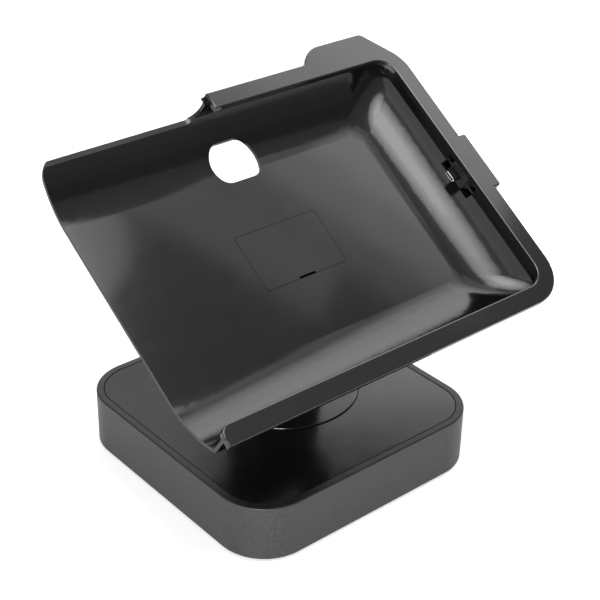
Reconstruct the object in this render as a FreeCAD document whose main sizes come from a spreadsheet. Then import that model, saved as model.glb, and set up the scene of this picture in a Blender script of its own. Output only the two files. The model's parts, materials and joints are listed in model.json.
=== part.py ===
"""Tablet docking station: a square base, a turntable and neck, and a tilting cradle.

Millimetres. Origin: the centre of the base on the surface it stands on. +X to the right along
the cradle, +Y to the back, +Z up. Cradle pieces are drawn in the cradle's own frame: x to the
right, y up the tray's slope from the lip's lower edge, z out of the bezel's face, then placed.
"""
import math
import os

import FreeCAD
import Part
import Sketcher

doc = FreeCAD.newDocument("docking_station")
sheet = doc.addObject("Spreadsheet::Sheet", "Sizes")

SIZES = (
    # Base housing, panel and cover
    ("base_width", 180.0),
    ("base_depth", 180.0),
    ("base_height", 36.2),
    ("base_corner", 31.0),
    ("pad_proud", 1.2),
    ("pad_width", 130.0),
    ("pad_corner", 18.0),
    ("pad_gap", 0.1),
    ("pad_recess", 1.0),
    ("rim_width", 4.6),
    ("rim_rounding", 0.8),
    ("bottom_rounding", 1.2),
    ("panel_gap", 0.5),
    ("panel_thickness", 2.5),
    ("panel_sink", 0.2),
    ("panel_rounding", 0.25),
    ("ledge_width", 7.4),
    ("ledge_thickness", 3.0),
    ("base_wall", 3.2),
    ("cover_gap", 0.3),
    ("cover_thickness", 2.5),
    ("boss_inset", 16.0),
    ("boss_radius", 4.5),
    ("cover_screw_radius", 1.4),
    ("cover_screw_head_radius", 2.6),
    ("cover_screw_head_height", 1.6),
    ("cover_screw_length", 12.0),
    ("screw_head_gap", 0.3),
    ("ballast_width", 124.0),
    ("ballast_depth", 66.0),
    ("ballast_thickness", 6.0),
    ("ballast_setback", 14.0),
    # Deck that carries the turntable
    ("deck_thickness", 2.0),
    ("deck_edge_gap", 1.0),
    ("deck_notch_gap", 1.0),
    ("deck_screw_radius", 1.25),
    ("deck_screw_head_radius", 2.3),
    ("deck_screw_head_height", 1.5),
    ("deck_screw_bite", 2.2),
    ("deck_screw_spread", 36.0),
    # Turntable
    ("swivel_offset", 8.0),
    ("swivel_setback", 6.0),
    ("swivel_reach", 90.0),
    ("disc_radius", 47.3),
    ("disc_gap", 0.4),
    ("disc_thickness", 3.2),
    ("disc_proud", 0.8),
    ("disc_rounding", 0.5),
    ("thrust_inner_radius", 26.0),
    ("thrust_outer_radius", 36.5),
    ("thrust_clearance", 0.05),
    ("spindle_bore_radius", 7.0),
    ("spindle_radius", 11.0),
    ("spindle_flange_radius", 23.0),
    ("spindle_flange_thickness", 2.6),
    ("spindle_length", 16.0),
    ("bush_clearance", 0.05),
    ("bush_wall", 2.0),
    ("bush_flange_width", 4.0),
    ("bush_flange_thickness", 1.5),
    ("spring_washer_thickness", 1.1),
    ("spring_washer_width", 5.0),
    ("washer_gap", 0.05),
    ("spindle_nut_across", 32.0),
    ("spindle_nut_thickness", 6.0),
    ("stop_pin_radius", 2.0),
    ("stop_pin_orbit", 41.5),
    ("stop_pin_length", 8.0),
    ("stop_pin_bite", 1.6),
    ("stop_slot_gap", 0.4),
    # Neck
    ("neck_setback", 9.2),
    ("hinge_height", 113.4),
    ("frame_base_thickness", 2.5),
    ("frame_base_half_width", 25.0),
    ("frame_base_half_depth", 12.0),
    ("upright_inner", 20.0),
    ("upright_thickness", 2.5),
    ("upright_half_depth", 11.0),
    ("web_setback", 9.0),
    ("web_thickness", 2.0),
    ("web_low", 44.0),
    ("web_high", 98.0),
    ("frame_screw_across", 14.0),
    ("frame_screw_along", 6.5),
    ("frame_screw_setback", 7.5),
    ("frame_screw_radius", 2.0),
    ("frame_screw_head_radius", 3.4),
    ("frame_screw_head_height", 2.4),
    ("frame_screw_length", 8.2),
    ("head_radius", 16.0),
    ("head_half_width", 26.3),
    ("neck_foot_half_width", 33.0),
    ("neck_foot_half_depth", 18.5),
    ("neck_waist_low", 56.0),
    ("neck_waist_low_half_width", 28.8),
    ("neck_waist_low_half_depth", 16.8),
    ("neck_waist_high", 82.0),
    ("neck_rounding", 4.0),
    ("neck_wall", 2.4),
    ("neck_seam", 0.2),
    ("shell_screw_radius", 1.5),
    ("shell_screw_head_radius", 2.8),
    ("shell_screw_head_height", 1.8),
    ("shell_seat_depth", 2.2),
    ("shell_fixing_low", 58.0),
    ("shell_fixing_high", 90.0),
    ("lead_radius", 2.0),
    ("lead_bend", 9.0),
    ("lead_joint_height", 24.0),
    ("lead_rise_start", 4.0),
    ("lead_rise_end", 10.0),
    ("lead_turn_in", 16.0),
    ("lead_drop_gap", 7.5),
    ("lead_end_up", 3.0),
    ("lead_tight_bend", 8.0),
    ("lead_end_bend", 7.0),
    # Tilt hinge
    ("pin_radius", 4.0),
    ("pin_clearance", 0.05),
    ("pin_shoulder_radius", 6.0),
    ("pin_shoulder_gap", 0.5),
    ("pin_inner_end", 11.5),
    ("pin_head_radius", 7.0),
    ("pin_head_thickness", 2.4),
    ("hinge_spring_radius", 7.0),
    ("hinge_spring_thickness", 2.6),
    ("hinge_nut_across", 13.0),
    ("hinge_nut_thickness", 5.0),
    ("ear_inner", 28.0),
    ("ear_thickness", 2.5),
    ("ear_radius", 10.0),
    # Cradle: place, outline and bezel
    ("screen_angle", 33.7),
    ("tilt_flatter", 13.7),
    ("tilt_steeper", 31.3),
    ("hub_up", 100),
    ("hinge_drop", 57.5),
    ("cradle_left", 122.9),
    ("cradle_right", 137.75),
    ("cradle_height", 200),
    ("bezel_thickness", 3.85),
    ("bezel_bottom", 11.7),
    ("bezel_top", 11.3),
    ("bezel_side", 11.7),
    ("bezel_rounding", 0.8),
    ("outer_low_corner", 24.9),
    ("inner_low_corner", 13.2),
    ("inner_high_corner", 11.8),
    ("outer_high_corner", 24.4),
    ("top_bar_start", 11.2),
    ("lip_corner", 6.1),
    ("ledge_rise", 10.45),
    ("ledge_foot_left", 65.3),
    ("ledge_top_left", 74.35),
    ("ledge_top_right", 118.45),
    ("ledge_slope_drop", 14.95),
    ("ledge_left_corner", 18.3),
    ("ledge_right_corner", 4.6),
    ("tab_half_height", 20.35),
    ("tab_reach", 5.15),
    ("tab_corner", 1.65),
    # Tray
    ("wall_inset_low", 4.1),
    ("wall_inset_high", 3.1),
    ("wall_inset_side", 4.1),
    ("tray_wall", 2.2),
    ("tray_depth", 31.75),
    ("cove_radius", 56.85),
    ("cove_run", 38.95),
    ("wall_corner", 18.3),
    ("floor_corner", 9.15),
    ("cutaway_start", 14.0),
    ("bar_rest_thickness", 1.2),
    ("cutaway_drop", 17.0),
    ("cutaway_flare", 9.6),
    ("tray_top_corner", 9.15),
    ("camera_hole_up", 165.75),
    ("camera_hole_radius", 16.7),
    ("camera_hole_above", 13.6),
    ("camera_hole_below", 12.6),
    ("camera_hole_rounding", 8.0),
    # Access cover and the well behind it
    ("access_width", 60.8),
    ("access_height", 38.05),
    ("access_corner", 2.0),
    ("access_gap", 0.25),
    ("access_thickness", 1.8),
    ("access_swing", 40.0),
    ("pry_width", 12.2),
    ("pry_height", 1.3),
    ("hook_reach", 2.5),
    ("hook_thickness", 1.0),
    ("hook_half_width", 4.0),
    ("hook_spacing", 18.0),
    ("hook_gap", 0.2),
    ("well_depth", 4.8),
    ("well_side_room", 0.8),
    ("well_hook_room", 3.4),
    ("well_post_radius", 1.5),
    ("well_post_inset", 4.0),
    ("bracket_thickness", 2.5),
    ("bracket_half_width", 33.0),
    ("bracket_half_height", 21.0),
    ("bracket_screw_across", 22.0),
    ("bracket_screw_along", 11.0),
    ("bracket_screw_radius", 2.0),
    ("bracket_screw_head_radius", 3.5),
    ("bracket_screw_head_height", 2.0),
    ("bracket_screw_length", 5.4),
    # Rear covers of the cradle
    ("hub_half_width", 38.0),
    ("hub_below", 25.0),
    ("hub_above", 41.0),
    ("hub_bottom_gap", 0.2),
    ("hub_wall", 1.8),
    ("hub_corner", 6.0),
    ("cheek_radius", 17.0),
    ("cheek_inner", 27.0),
    ("cheek_inner_wall", 0.9),
    ("cap_radius", 8.0),
    ("lead_up", 34.0),
    ("lead_side", 9.0),
    ("lead_slot_half_width", 4.5),
    ("lead_cover_half_height", 10.0),
    ("lead_cover_depth", 7.0),
    ("lead_cover_start", 38.3),
    ("pod_left", 96.0),
    ("pod_right", 137),
    ("pod_depth", 38.0),
    ("pod_wall", 2.0),
    ("pod_shoulder", 26.0),
    ("pod_chamfer", 11.0),
    ("pod_side_reach", 4.1),
    ("pod_side_bottom", 27.0),
    ("pod_face_gap", 0.05),
    # Plug carriage
    ("plug_down", 8.55),
    ("plug_travel", 6.5),
    ("plug_width", 8.35),
    ("plug_thickness", 2.4),
    ("plug_length", 6.75),
    ("plug_skin", 0.3),
    ("contact_setback", 1.8),
    ("plug_root", 2.15),
    ("plug_root_border", 0.5),
    ("tongue_width", 6.69),
    ("tongue_thickness", 0.7),
    ("nose_inset", 10.2),
    ("nose_half_height", 7.55),
    ("nose_top", 5.3),
    ("nose_bottom", 16.6),
    ("slot_half_height", 14.2),
    ("slot_top", 4.5),
    ("slot_bottom", 18.0),
    ("slider_half_height", 7.6),
    ("slider_depth", 5.3),
    ("slider_bottom", 23.5),
    ("slider_room", 0.6),
    ("slider_gap", 0.4),
    ("rod_end_bite", 0.9),
    ("rod_radius", 1.5),
    ("rod_clearance", 0.06),
    ("rod_down", 18.8),
    ("plug_board_thickness", 1.2),
    # Screws of the cradle
    ("small_screw_radius", 0.8),
    ("small_screw_head_radius", 1.5),
    ("small_screw_head_height", 1.0),
    ("small_screw_length", 5.6),
    ("small_boss_wall", 0.2),
    ("bezel_screw_near", 9.0),
    ("bezel_screw_far", 14.0),
    ("bezel_screw_low", 18.0),
    ("bezel_screw_high", 28.0),
    # Circuit board and sockets
    ("board_low", 11.0),
    ("board_thickness", 1.6),
    ("board_side", 3.0),
    ("board_front", 14.0),
    ("board_rear_gap", 0.2),
    ("post_radius", 3.5),
    ("post_side_inset", 7.0),
    ("post_front_inset", 8.0),
    ("post_rear_inset", 24.75),
    ("board_screw_radius", 1.2),
    ("board_screw_head_radius", 2.4),
    ("board_screw_head_height", 1.6),
    ("board_screw_length", 7.0),
    ("chip_width", 14.0),
    ("chip_thickness", 1.4),
    ("coil_height", 5.8),
    ("capacitor_radius", 3.2),
    ("capacitor_height", 8.0),
    ("header_depth", 6.0),
    ("header_wall", 0.4),
    ("header_setback", 26.0),
    ("port_plate_side", 32.0),
    ("port_plate_low", 8.5),
    ("port_plate_high", 27.2),
    ("port_plate_recess", 1.0),
    ("port_flange", 2.3),
    ("port_flange_thickness", 1.8),
    ("port_gap", 0.2),
    ("port_depth", 15.0),
    ("power_jack_width", 9.0),
    ("power_jack_height", 11.0),
    ("power_jack_bore", 3.1),
    ("power_jack_pin", 1.0),
    ("usb_c_width", 9.2),
    ("usb_c_height", 3.4),
    ("ethernet_width", 16.0),
    ("ethernet_height", 13.4),
    ("ethernet_mouth_width", 11.8),
    ("ethernet_mouth_height", 8.2),
    ("hdmi_width", 15.0),
    ("hdmi_height", 5.8),
    ("usb_a_pitch", 15.5),
    ("usb_a_width", 13.3),
    ("usb_a_height", 5.9),
    ("audio_width", 7.0),
    ("audio_height", 6.0),
    ("audio_bore", 1.8),
    ("shell_skin", 0.4),
    # Security lock slot
    ("lock_back", 40.0),
    ("lock_height", 19.0),
    ("lock_slot_width", 7.0),
    ("lock_slot_height", 3.0),
    ("lock_plate_half_width", 10.0),
    ("lock_plate_half_height", 7.0),
    ("lock_plate_thickness", 2.0),
)

for row, (alias, size) in enumerate(SIZES, start=1):
    sheet.set("A%d" % row, alias)
    sheet.set("B%d" % row, str(size))
    sheet.setAlias("B%d" % row, alias)
doc.recompute()


class Size:
    """A number, together with the same number as a formula over the sheet's cells."""

    def __init__(self, number, formula):
        self.number = float(number)
        self.formula = formula

    def __add__(self, other):
        other = as_size(other)
        return Size(self.number + other.number, "(%s + %s)" % (self.formula, other.formula))

    def __sub__(self, other):
        other = as_size(other)
        return Size(self.number - other.number, "(%s - %s)" % (self.formula, other.formula))

    def __mul__(self, other):
        other = as_size(other)
        return Size(self.number * other.number, "(%s * %s)" % (self.formula, other.formula))

    def __truediv__(self, other):
        other = as_size(other)
        return Size(self.number / other.number, "(%s / %s)" % (self.formula, other.formula))

    def __radd__(self, other):
        return as_size(other) + self

    def __rsub__(self, other):
        return as_size(other) - self

    def __rmul__(self, other):
        return as_size(other) * self

    def __neg__(self):
        return Size(-self.number, "(0 - %s)" % self.formula)


def as_size(value):
    """A plain number stays a number in the formula."""
    if isinstance(value, Size):
        return value
    return Size(value, repr(float(value)))


def root(value):
    return Size(math.sqrt(value.number), "sqrt(%s)" % value.formula)


def cosine(angle):
    return Size(math.cos(math.radians(angle.number)), "cos(%s)" % angle.formula)


def sine(angle):
    return Size(math.sin(math.radians(angle.number)), "sin(%s)" % angle.formula)


def arc_sine(ratio):
    return Size(math.degrees(math.asin(ratio.number)), "(asin(%s) / (1 deg))" % ratio.formula)


class Sheet:
    """The sheet's cells by name, as sizes."""

    def __getattr__(self, alias):
        return Size(getattr(sheet, alias), "Sizes." + alias)


s = Sheet()
PARTS = []
OVER = 1.0


def bind(piece, prop, size):
    """Set a property from a formula over the sheet."""
    size = as_size(size)
    piece.setExpression(prop, size.formula)


def place(piece, position, rotation=None):
    """Put a piece at a position given as three sizes, turned as asked."""
    numbers = [as_size(value).number for value in position]
    turn = rotation or FreeCAD.Rotation()
    piece.Placement = FreeCAD.Placement(FreeCAD.Vector(*numbers), turn)
    for axis, value in zip("xyz", position):
        bind(piece, "Placement.Base." + axis, value)


def box(name, x, y, z):
    """A box from its low and high side along each axis."""
    piece = doc.addObject("Part::Box", name)
    for prop, (low, high) in zip(("Length", "Width", "Height"), (x, y, z)):
        bind(piece, prop, as_size(high) - as_size(low))
    place(piece, (x[0], y[0], z[0]))
    return piece


TURNS = {
    "x": FreeCAD.Rotation(FreeCAD.Vector(0, 1, 0), 90),
    "y": FreeCAD.Rotation(FreeCAD.Vector(1, 0, 0), -90),
    "z": FreeCAD.Rotation(),
}


def along(axis, across, start):
    """The position of a round piece's start: its centre across the axis, and its start along it."""
    first, second = across
    if axis == "x":
        return (start, first, second)
    if axis == "y":
        return (first, start, second)
    return (first, second, start)


def cylinder(name, radius, axis, across, span, angle=None):
    """A cylinder along an axis, from its centre across that axis and its span along it."""
    piece = doc.addObject("Part::Cylinder", name)
    bind(piece, "Radius", radius)
    bind(piece, "Height", as_size(span[1]) - as_size(span[0]))
    if angle is not None:
        bind(piece, "Angle", angle)
    place(piece, along(axis, across, span[0]), TURNS[axis])
    return piece


def hexagon(name, across_flats, axis, across, span):
    """A hexagonal prism along an axis."""
    piece = doc.addObject("Part::Prism", name)
    piece.Polygon = 6
    bind(piece, "Circumradius", as_size(across_flats) / math.sqrt(3.0))
    bind(piece, "Height", as_size(span[1]) - as_size(span[0]))
    place(piece, along(axis, across, span[0]), TURNS[axis])
    return piece


def fuse(name, pieces):
    piece = doc.addObject("Part::MultiFuse", name)
    piece.Shapes = pieces
    piece.Refine = True
    return piece


def group(name, pieces):
    """Separate solids kept together."""
    piece = doc.addObject("Part::Compound", name)
    piece.Links = pieces
    return piece


def cut(name, base, tools):
    """A base less one tool, or less several fused tools."""
    piece = doc.addObject("Part::Cut", name)
    piece.Base = base
    piece.Tool = tools[0] if len(tools) == 1 else fuse(name + "_tools", tools)
    piece.Refine = True
    return piece


def common(name, first, second):
    piece = doc.addObject("Part::Common", name)
    piece.Base = first
    piece.Tool = second
    return piece


def tube(name, outer, inner, axis, across, span):
    """A ring or sleeve."""
    solid = cylinder(name + "_outer", outer, axis, across, span)
    over = (as_size(span[0]) - OVER, as_size(span[1]) + OVER)
    bore = cylinder(name + "_bore", inner, axis, across, over)
    return cut(name, solid, [bore])


def round_edges(name, base, radius, chosen):
    """Round the edges of a solid that a test on the edge chooses."""
    doc.recompute()
    numbers = [i for i, edge in enumerate(base.Shape.Edges, start=1) if chosen(edge)]
    piece = doc.addObject("Part::Fillet", name)
    piece.Base = base
    piece.Edges = [(number, radius.number, radius.number) for number in numbers]
    return piece


def is_straight_along(edge, axis):
    """Whether an edge is a straight line along x, y or z."""
    if not isinstance(edge.Curve, Part.Line):
        return False
    direction = edge.Curve.Direction
    return abs(abs(getattr(direction, axis)) - 1.0) < 1e-6


def node(name, piece):
    """Hand in a piece under its name."""
    piece.Label = name
    PARTS.append(piece)
    return piece


PLANE_TURN = {"XY_Plane": "z", "XZ_Plane": "y", "YZ_Plane": "x"}


def attached_sketch(body, name, role, height):
    """A sketch on one of the body's origin planes, lifted along that plane's normal."""
    sketch = body.newObject("Sketcher::SketchObject", name)
    plane = next(item for item in body.Origin.OriginFeatures if item.Role == role)
    sketch.AttachmentSupport = [(plane, "")]
    sketch.MapMode = "FlatFace"
    bind(sketch, "AttachmentOffset.Base.z", height)
    return sketch


def fix_point(sketch, geometry, point, x, y, name):
    """Hold a point of a sketch at a place given by formulas."""
    for kind, value, suffix in (("DistanceX", x, "_x"), ("DistanceY", y, "_y")):
        value = as_size(value)
        index = sketch.addConstraint(Sketcher.Constraint(kind, -1, 1, geometry, point, value.number))
        sketch.renameConstraint(index, name + suffix)
        sketch.setExpression("Constraints." + name + suffix, value.formula)


def polygon_sketch(body, name, role, height, points):
    """A closed outline of straight lines through points given as pairs of sizes."""
    sketch = attached_sketch(body, name, role, height)
    places = [(as_size(x), as_size(y)) for x, y in points]
    vectors = [FreeCAD.Vector(x.number, y.number, 0) for x, y in places]
    count = len(vectors)
    lines = [Part.LineSegment(vectors[i], vectors[(i + 1) % count]) for i in range(count)]
    sketch.addGeometry(lines, False)
    for i in range(count):
        sketch.addConstraint(Sketcher.Constraint("Coincident", i, 2, (i + 1) % count, 1))
    for i, (x, y) in enumerate(places):
        fix_point(sketch, i, 1, x, y, "point%d" % i)
    return sketch


def circle_sketch(body, name, role, height, circles):
    """Circles, each given by its centre and radius."""
    sketch = attached_sketch(body, name, role, height)
    for i, (x, y, radius) in enumerate(circles):
        centre = FreeCAD.Vector(as_size(x).number, as_size(y).number, 0)
        sketch.addGeometry(Part.Circle(centre, FreeCAD.Vector(0, 0, 1), as_size(radius).number))
        fix_point(sketch, i, 3, x, y, "centre%d" % i)
        index = sketch.addConstraint(Sketcher.Constraint("Radius", i, as_size(radius).number))
        sketch.renameConstraint(index, "radius%d" % i)
        sketch.setExpression("Constraints.radius%d" % i, as_size(radius).formula)
    return sketch


def rounded_sketch(body, name, role, height, x, y, radius):
    """A rectangle with equal round corners, from its low and high side each way."""
    sketch = attached_sketch(body, name, role, height)
    (left, right), (low, high) = [[as_size(value) for value in pair] for pair in (x, y)]
    radius = as_size(radius)
    r = radius.number
    corners = (
        (right.number - r, high.number - r, 0),
        (left.number + r, high.number - r, 90),
        (left.number + r, low.number + r, 180),
        (right.number - r, low.number + r, 270),
    )
    arcs = []
    for centre_x, centre_y, start in corners:
        circle = Part.Circle(FreeCAD.Vector(centre_x, centre_y, 0), FreeCAD.Vector(0, 0, 1), r)
        arcs.append(Part.ArcOfCircle(circle, math.radians(start), math.radians(start + 90)))
    lines = []
    for i in range(4):
        lines.append(Part.LineSegment(arcs[i].EndPoint, arcs[(i + 1) % 4].StartPoint))
    sketch.addGeometry(arcs + lines, False)
    for i in range(4):
        sketch.addConstraint(Sketcher.Constraint("Tangent", i, 2, 4 + i, 1))
        sketch.addConstraint(Sketcher.Constraint("Tangent", 4 + i, 2, (i + 1) % 4, 1))
    for i in (4, 6):
        sketch.addConstraint(Sketcher.Constraint("Horizontal", i))
    for i in (5, 7):
        sketch.addConstraint(Sketcher.Constraint("Vertical", i))
    for i in (1, 2, 3):
        sketch.addConstraint(Sketcher.Constraint("Equal", 0, i))
    held = (
        ("radius", Sketcher.Constraint("Radius", 0, r), radius),
        ("high", Sketcher.Constraint("DistanceY", -1, 1, 4, 1, high.number), high),
        ("left", Sketcher.Constraint("DistanceX", -1, 1, 5, 1, left.number), left),
        ("low", Sketcher.Constraint("DistanceY", -1, 1, 6, 1, low.number), low),
        ("right", Sketcher.Constraint("DistanceX", -1, 1, 7, 1, right.number), right),
    )
    for label, constraint, size in held:
        index = sketch.addConstraint(constraint)
        sketch.renameConstraint(index, label)
        sketch.setExpression("Constraints." + label, size.formula)
    return sketch


def new_body(name):
    return doc.addObject("PartDesign::Body", name)


def pad(body, sketch, length, name):
    feature = body.newObject("PartDesign::Pad", name)
    feature.Profile = sketch
    bind(feature, "Length", length)
    doc.recompute()
    return feature


def pocket(body, sketch, depth, name, upwards=False):
    """Cut a sketch down from its plane, or up from it."""
    feature = body.newObject("PartDesign::Pocket", name)
    feature.Profile = sketch
    feature.Reversed = upwards
    bind(feature, "Length", depth)
    doc.recompute()
    return feature


def fillet(body, radius, name, chosen):
    """Round the edges of the body's tip that a test on the edge chooses."""
    doc.recompute()
    tip = body.Tip
    edges = ["Edge%d" % i for i, edge in enumerate(tip.Shape.Edges, start=1) if chosen(edge)]
    feature = body.newObject("PartDesign::Fillet", name)
    feature.Base = (tip, edges)
    bind(feature, "Radius", radius)
    doc.recompute()
    return feature


def fillet_corner(body, sketch, index, radius, name):
    """Round the upright edge over one corner of a polygon sketch."""
    corner = sketch.Geometry[index].StartPoint
    spot = sketch.Placement.multVec(corner)

    def over_corner(edge):
        if not is_straight_along(edge, "z"):
            return False
        start = edge.Vertexes[0].Point
        return math.hypot(start.x - spot.x, start.y - spot.y) < 1e-4

    return fillet(body, radius, name, over_corner)


def at_height(edge, height):
    """Whether an edge lies at one height."""
    limits = edge.BoundBox
    return abs(limits.ZMin - height) < 1e-4 and abs(limits.ZMax - height) < 1e-4


def screw(name, head_radius, head_height, radius, length, axis, across, seat, outward):
    """A screw whose head sits on a seat and whose shank runs the other way."""
    seat = as_size(seat)
    if outward > 0:
        head_span = (seat, seat + head_height)
        shank_span = (seat - length, seat + head_height / 2)
    else:
        head_span = (seat - head_height, seat)
        shank_span = (seat - head_height / 2, seat + length)
    head = cylinder(name + "_head", head_radius, axis, across, head_span)
    shank = cylinder(name + "_shank", radius, axis, across, shank_span)
    driver = hexagon(name + "_socket", head_radius, axis, across, socket_span(head_span, outward))
    return cut(name, fuse(name + "_blank", [head, shank]), [driver])


def socket_span(head_span, outward):
    """The driver socket takes the outer half of a screw's head."""
    low, high = head_span
    middle = (low + high) / 2
    return (middle, high + OVER) if outward > 0 else (low - OVER, middle)


def lead(name, points, radius, bends):
    """A round lead along straight runs joined by tangent arcs, one bend radius for each corner."""
    vectors = [FreeCAD.Vector(*[as_size(value).number for value in point]) for point in points]
    edges = []
    start = vectors[0]
    for i, bend in enumerate(bends, start=1):
        before = (vectors[i - 1] - vectors[i]).normalize()
        after = (vectors[i + 1] - vectors[i]).normalize()
        turn = math.pi - before.getAngle(after)
        reach = bend * math.tan(turn / 2)
        first = vectors[i] + before * reach
        last = vectors[i] + after * reach
        inward = (before + after).normalize()
        centre = vectors[i] + inward * (bend / math.cos(turn / 2))
        middle = centre - inward * bend
        if (first - start).Length > 1e-6:
            edges.append(Part.LineSegment(start, first).toShape())
        edges.append(Part.Arc(first, middle, last).toShape())
        start = last
    if (vectors[-1] - start).Length > 1e-6:
        edges.append(Part.LineSegment(start, vectors[-1]).toShape())
    path = Part.Wire(edges)
    direction = (vectors[1] - vectors[0]).normalize()
    section = Part.Wire([Part.makeCircle(radius, vectors[0], direction)])
    piece = doc.addObject("Part::Feature", name)
    piece.Shape = path.makePipeShell([section], True, False)
    return piece


# Heights in the base
base_low = s.pad_proud
base_high = base_low + s.base_height
panel_high = base_high - s.panel_sink
panel_low = panel_high - s.panel_thickness
ledge_low = panel_low - s.ledge_thickness
deck_low = ledge_low - s.deck_thickness
cover_high = base_low + s.cover_thickness
half_width = s.base_width / 2
half_depth = s.base_depth / 2
disc_high = panel_high + s.disc_proud
disc_low = disc_high - s.disc_thickness
axis_x = s.swivel_offset
axis_y = s.swivel_setback
swivel = (axis_x, axis_y)


def inset_rectangle(inset):
    """The base's outline moved inwards: its x and y spans and its corner radius."""
    return (
        (inset - half_width, half_width - inset),
        (inset - half_depth, half_depth - inset),
        s.base_corner - inset,
    )


def four_places(x, y, centre=(0.0, 0.0)):
    """Four places, mirrored both ways about a centre."""
    return [(x * i + centre[0], y * j + centre[1]) for i in (-1, 1) for j in (-1, 1)]


boss_places = four_places(half_width - s.boss_inset, half_depth - s.boss_inset)
plate_half_width = half_width - s.port_plate_side
plate_rear = half_depth - s.port_plate_recess
flange_rear = half_depth - s.base_wall - s.pod_face_gap
board_high = s.board_low + s.board_thickness
board_rear = flange_rear - s.port_flange_thickness - s.board_rear_gap
board_half_width = plate_half_width + s.board_side
post_across = board_half_width - s.post_side_inset
post_places = [(post_across * i, y) for i in (-1, 1)
               for y in (s.board_front + s.post_front_inset, board_rear - s.post_rear_inset)]


def port_window(name, grow, y):
    """The rear opening for the port plate, a little larger than the plate."""
    x = (-plate_half_width - grow, plate_half_width + grow)
    return box(name, x, y, (s.port_plate_low - grow, s.port_plate_high + grow))


def lock_slot(name, grow, x):
    """The security slot through the right wall."""
    half_long = s.lock_slot_width / 2 + grow
    half_tall = s.lock_slot_height / 2 + grow
    y = (s.lock_back - half_long, s.lock_back + half_long)
    return box(name, x, y, (s.lock_height - half_tall, s.lock_height + half_tall))


def make_base_housing():
    body = new_body("housing_body")
    outline = rounded_sketch(body, "housing_outline", "XY_Plane", base_low, *inset_rectangle(as_size(0)))
    pad(body, outline, s.base_height, "housing_block")
    recess = rounded_sketch(body, "panel_recess", "XY_Plane", base_high, *inset_rectangle(s.rim_width))
    pocket(body, recess, s.panel_thickness + s.panel_sink, "panel_recess_cut")
    opening = inset_rectangle(s.rim_width + s.ledge_width)
    well = rounded_sketch(body, "ledge_opening", "XY_Plane", base_high, *opening)
    pocket(body, well, s.base_height + OVER, "ledge_opening_cut")
    inside = rounded_sketch(body, "cavity", "XY_Plane", base_low, *inset_rectangle(s.base_wall))
    pocket(body, inside, ledge_low - base_low, "cavity_cut", upwards=True)
    outer = (s.base_width.number / 2, s.base_depth.number / 2)

    def on_outline(edge, height):
        limits = edge.BoundBox
        centre = limits.Center
        reach = max(abs(limits.XMin), abs(limits.XMax), abs(limits.YMin), abs(limits.YMax))
        return at_height(edge, height) and reach > min(outer) - 1e-3 and centre is not None

    fillet(body, s.rim_rounding, "rim_rounding", lambda edge: on_outline(edge, base_high.number))
    fillet(body, s.bottom_rounding, "bottom_rounding", lambda edge: on_outline(edge, base_low.number))
    bosses = []
    pilots = []
    for i, place_xy in enumerate(boss_places):
        bosses.append(cylinder("boss%d" % i, s.boss_radius, "z", place_xy, (cover_high, ledge_low + OVER)))
        pilots.append(cylinder("boss_pilot%d" % i, s.cover_screw_radius, "z", place_xy,
                               (cover_high - OVER, cover_high + s.cover_screw_length)))
    for i, place_xy in enumerate(deck_screw_places):
        pilots.append(cylinder("deck_pilot%d" % i, s.deck_screw_radius, "z", place_xy,
                               (ledge_low - OVER, ledge_low + s.deck_screw_bite)))
    window = port_window("rear_window", s.cover_gap, (half_depth - s.base_wall - OVER, half_depth + OVER))
    slot = lock_slot("lock_opening", s.port_gap, (half_width - s.base_wall - OVER, half_width + OVER))
    solid = fuse("housing_with_bosses", [body] + bosses)
    node("base_housing", cut("base_housing", solid, pilots + [window, slot]))


deck_line_inset = (s.rim_width + s.ledge_width + s.base_wall) / 2
deck_screw_places = four_places(half_width - deck_line_inset, s.deck_screw_spread)
deck_screw_places += four_places(s.deck_screw_spread, half_depth - deck_line_inset)


def make_top_panel():
    body = new_body("panel_body")
    outline = rounded_sketch(body, "panel_outline", "XY_Plane", panel_low,
                             *inset_rectangle(s.rim_width + s.panel_gap))
    pad(body, outline, s.panel_thickness, "panel_plate")
    hole = circle_sketch(body, "disc_hole", "XY_Plane", panel_high,
                         [(axis_x, axis_y, s.disc_radius + s.disc_gap)])
    pocket(body, hole, s.panel_thickness + OVER, "disc_hole_cut")
    fillet(body, s.panel_rounding, "panel_rounding", lambda edge: at_height(edge, panel_high.number))
    node("top_panel", body)


def make_bottom_cover():
    body = new_body("cover_body")
    outline = rounded_sketch(body, "cover_outline", "XY_Plane", base_low,
                             *inset_rectangle(s.base_wall + s.cover_gap))
    pad(body, outline, s.cover_thickness, "cover_plate")
    recess = pad_sketch(body, "pad_recess", base_low, s.pad_gap)
    pocket(body, recess, s.pad_recess, "pad_recess_cut", upwards=True)
    tools = []
    for i, place_xy in enumerate(boss_places):
        tools.append(cylinder("cover_hole%d" % i, s.cover_screw_radius + s.screw_head_gap / 2, "z", place_xy,
                              (base_low - OVER, cover_high + OVER)))
        tools.append(cylinder("cover_counterbore%d" % i, s.cover_screw_head_radius + s.screw_head_gap, "z",
                              place_xy, (base_low - OVER, base_low + s.cover_screw_head_height)))
    posts = []
    for i, place_xy in enumerate(post_places):
        posts.append(cylinder("post%d" % i, s.post_radius, "z", place_xy, (cover_high - OVER, s.board_low)))
        tools.append(cylinder("post_pilot%d" % i, s.board_screw_radius, "z", place_xy,
                              (s.board_low - s.board_screw_length + s.board_thickness, s.board_low + OVER)))
    node("bottom_cover", cut("bottom_cover", fuse("cover_with_posts", [body] + posts), tools))


def pad_sketch(body, name, height, grow):
    """The outline of the pad that the base stands on."""
    half = s.pad_width / 2 + grow
    return rounded_sketch(body, name, "XY_Plane", height, (-half, half), (-half, half), s.pad_corner + grow)


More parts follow.
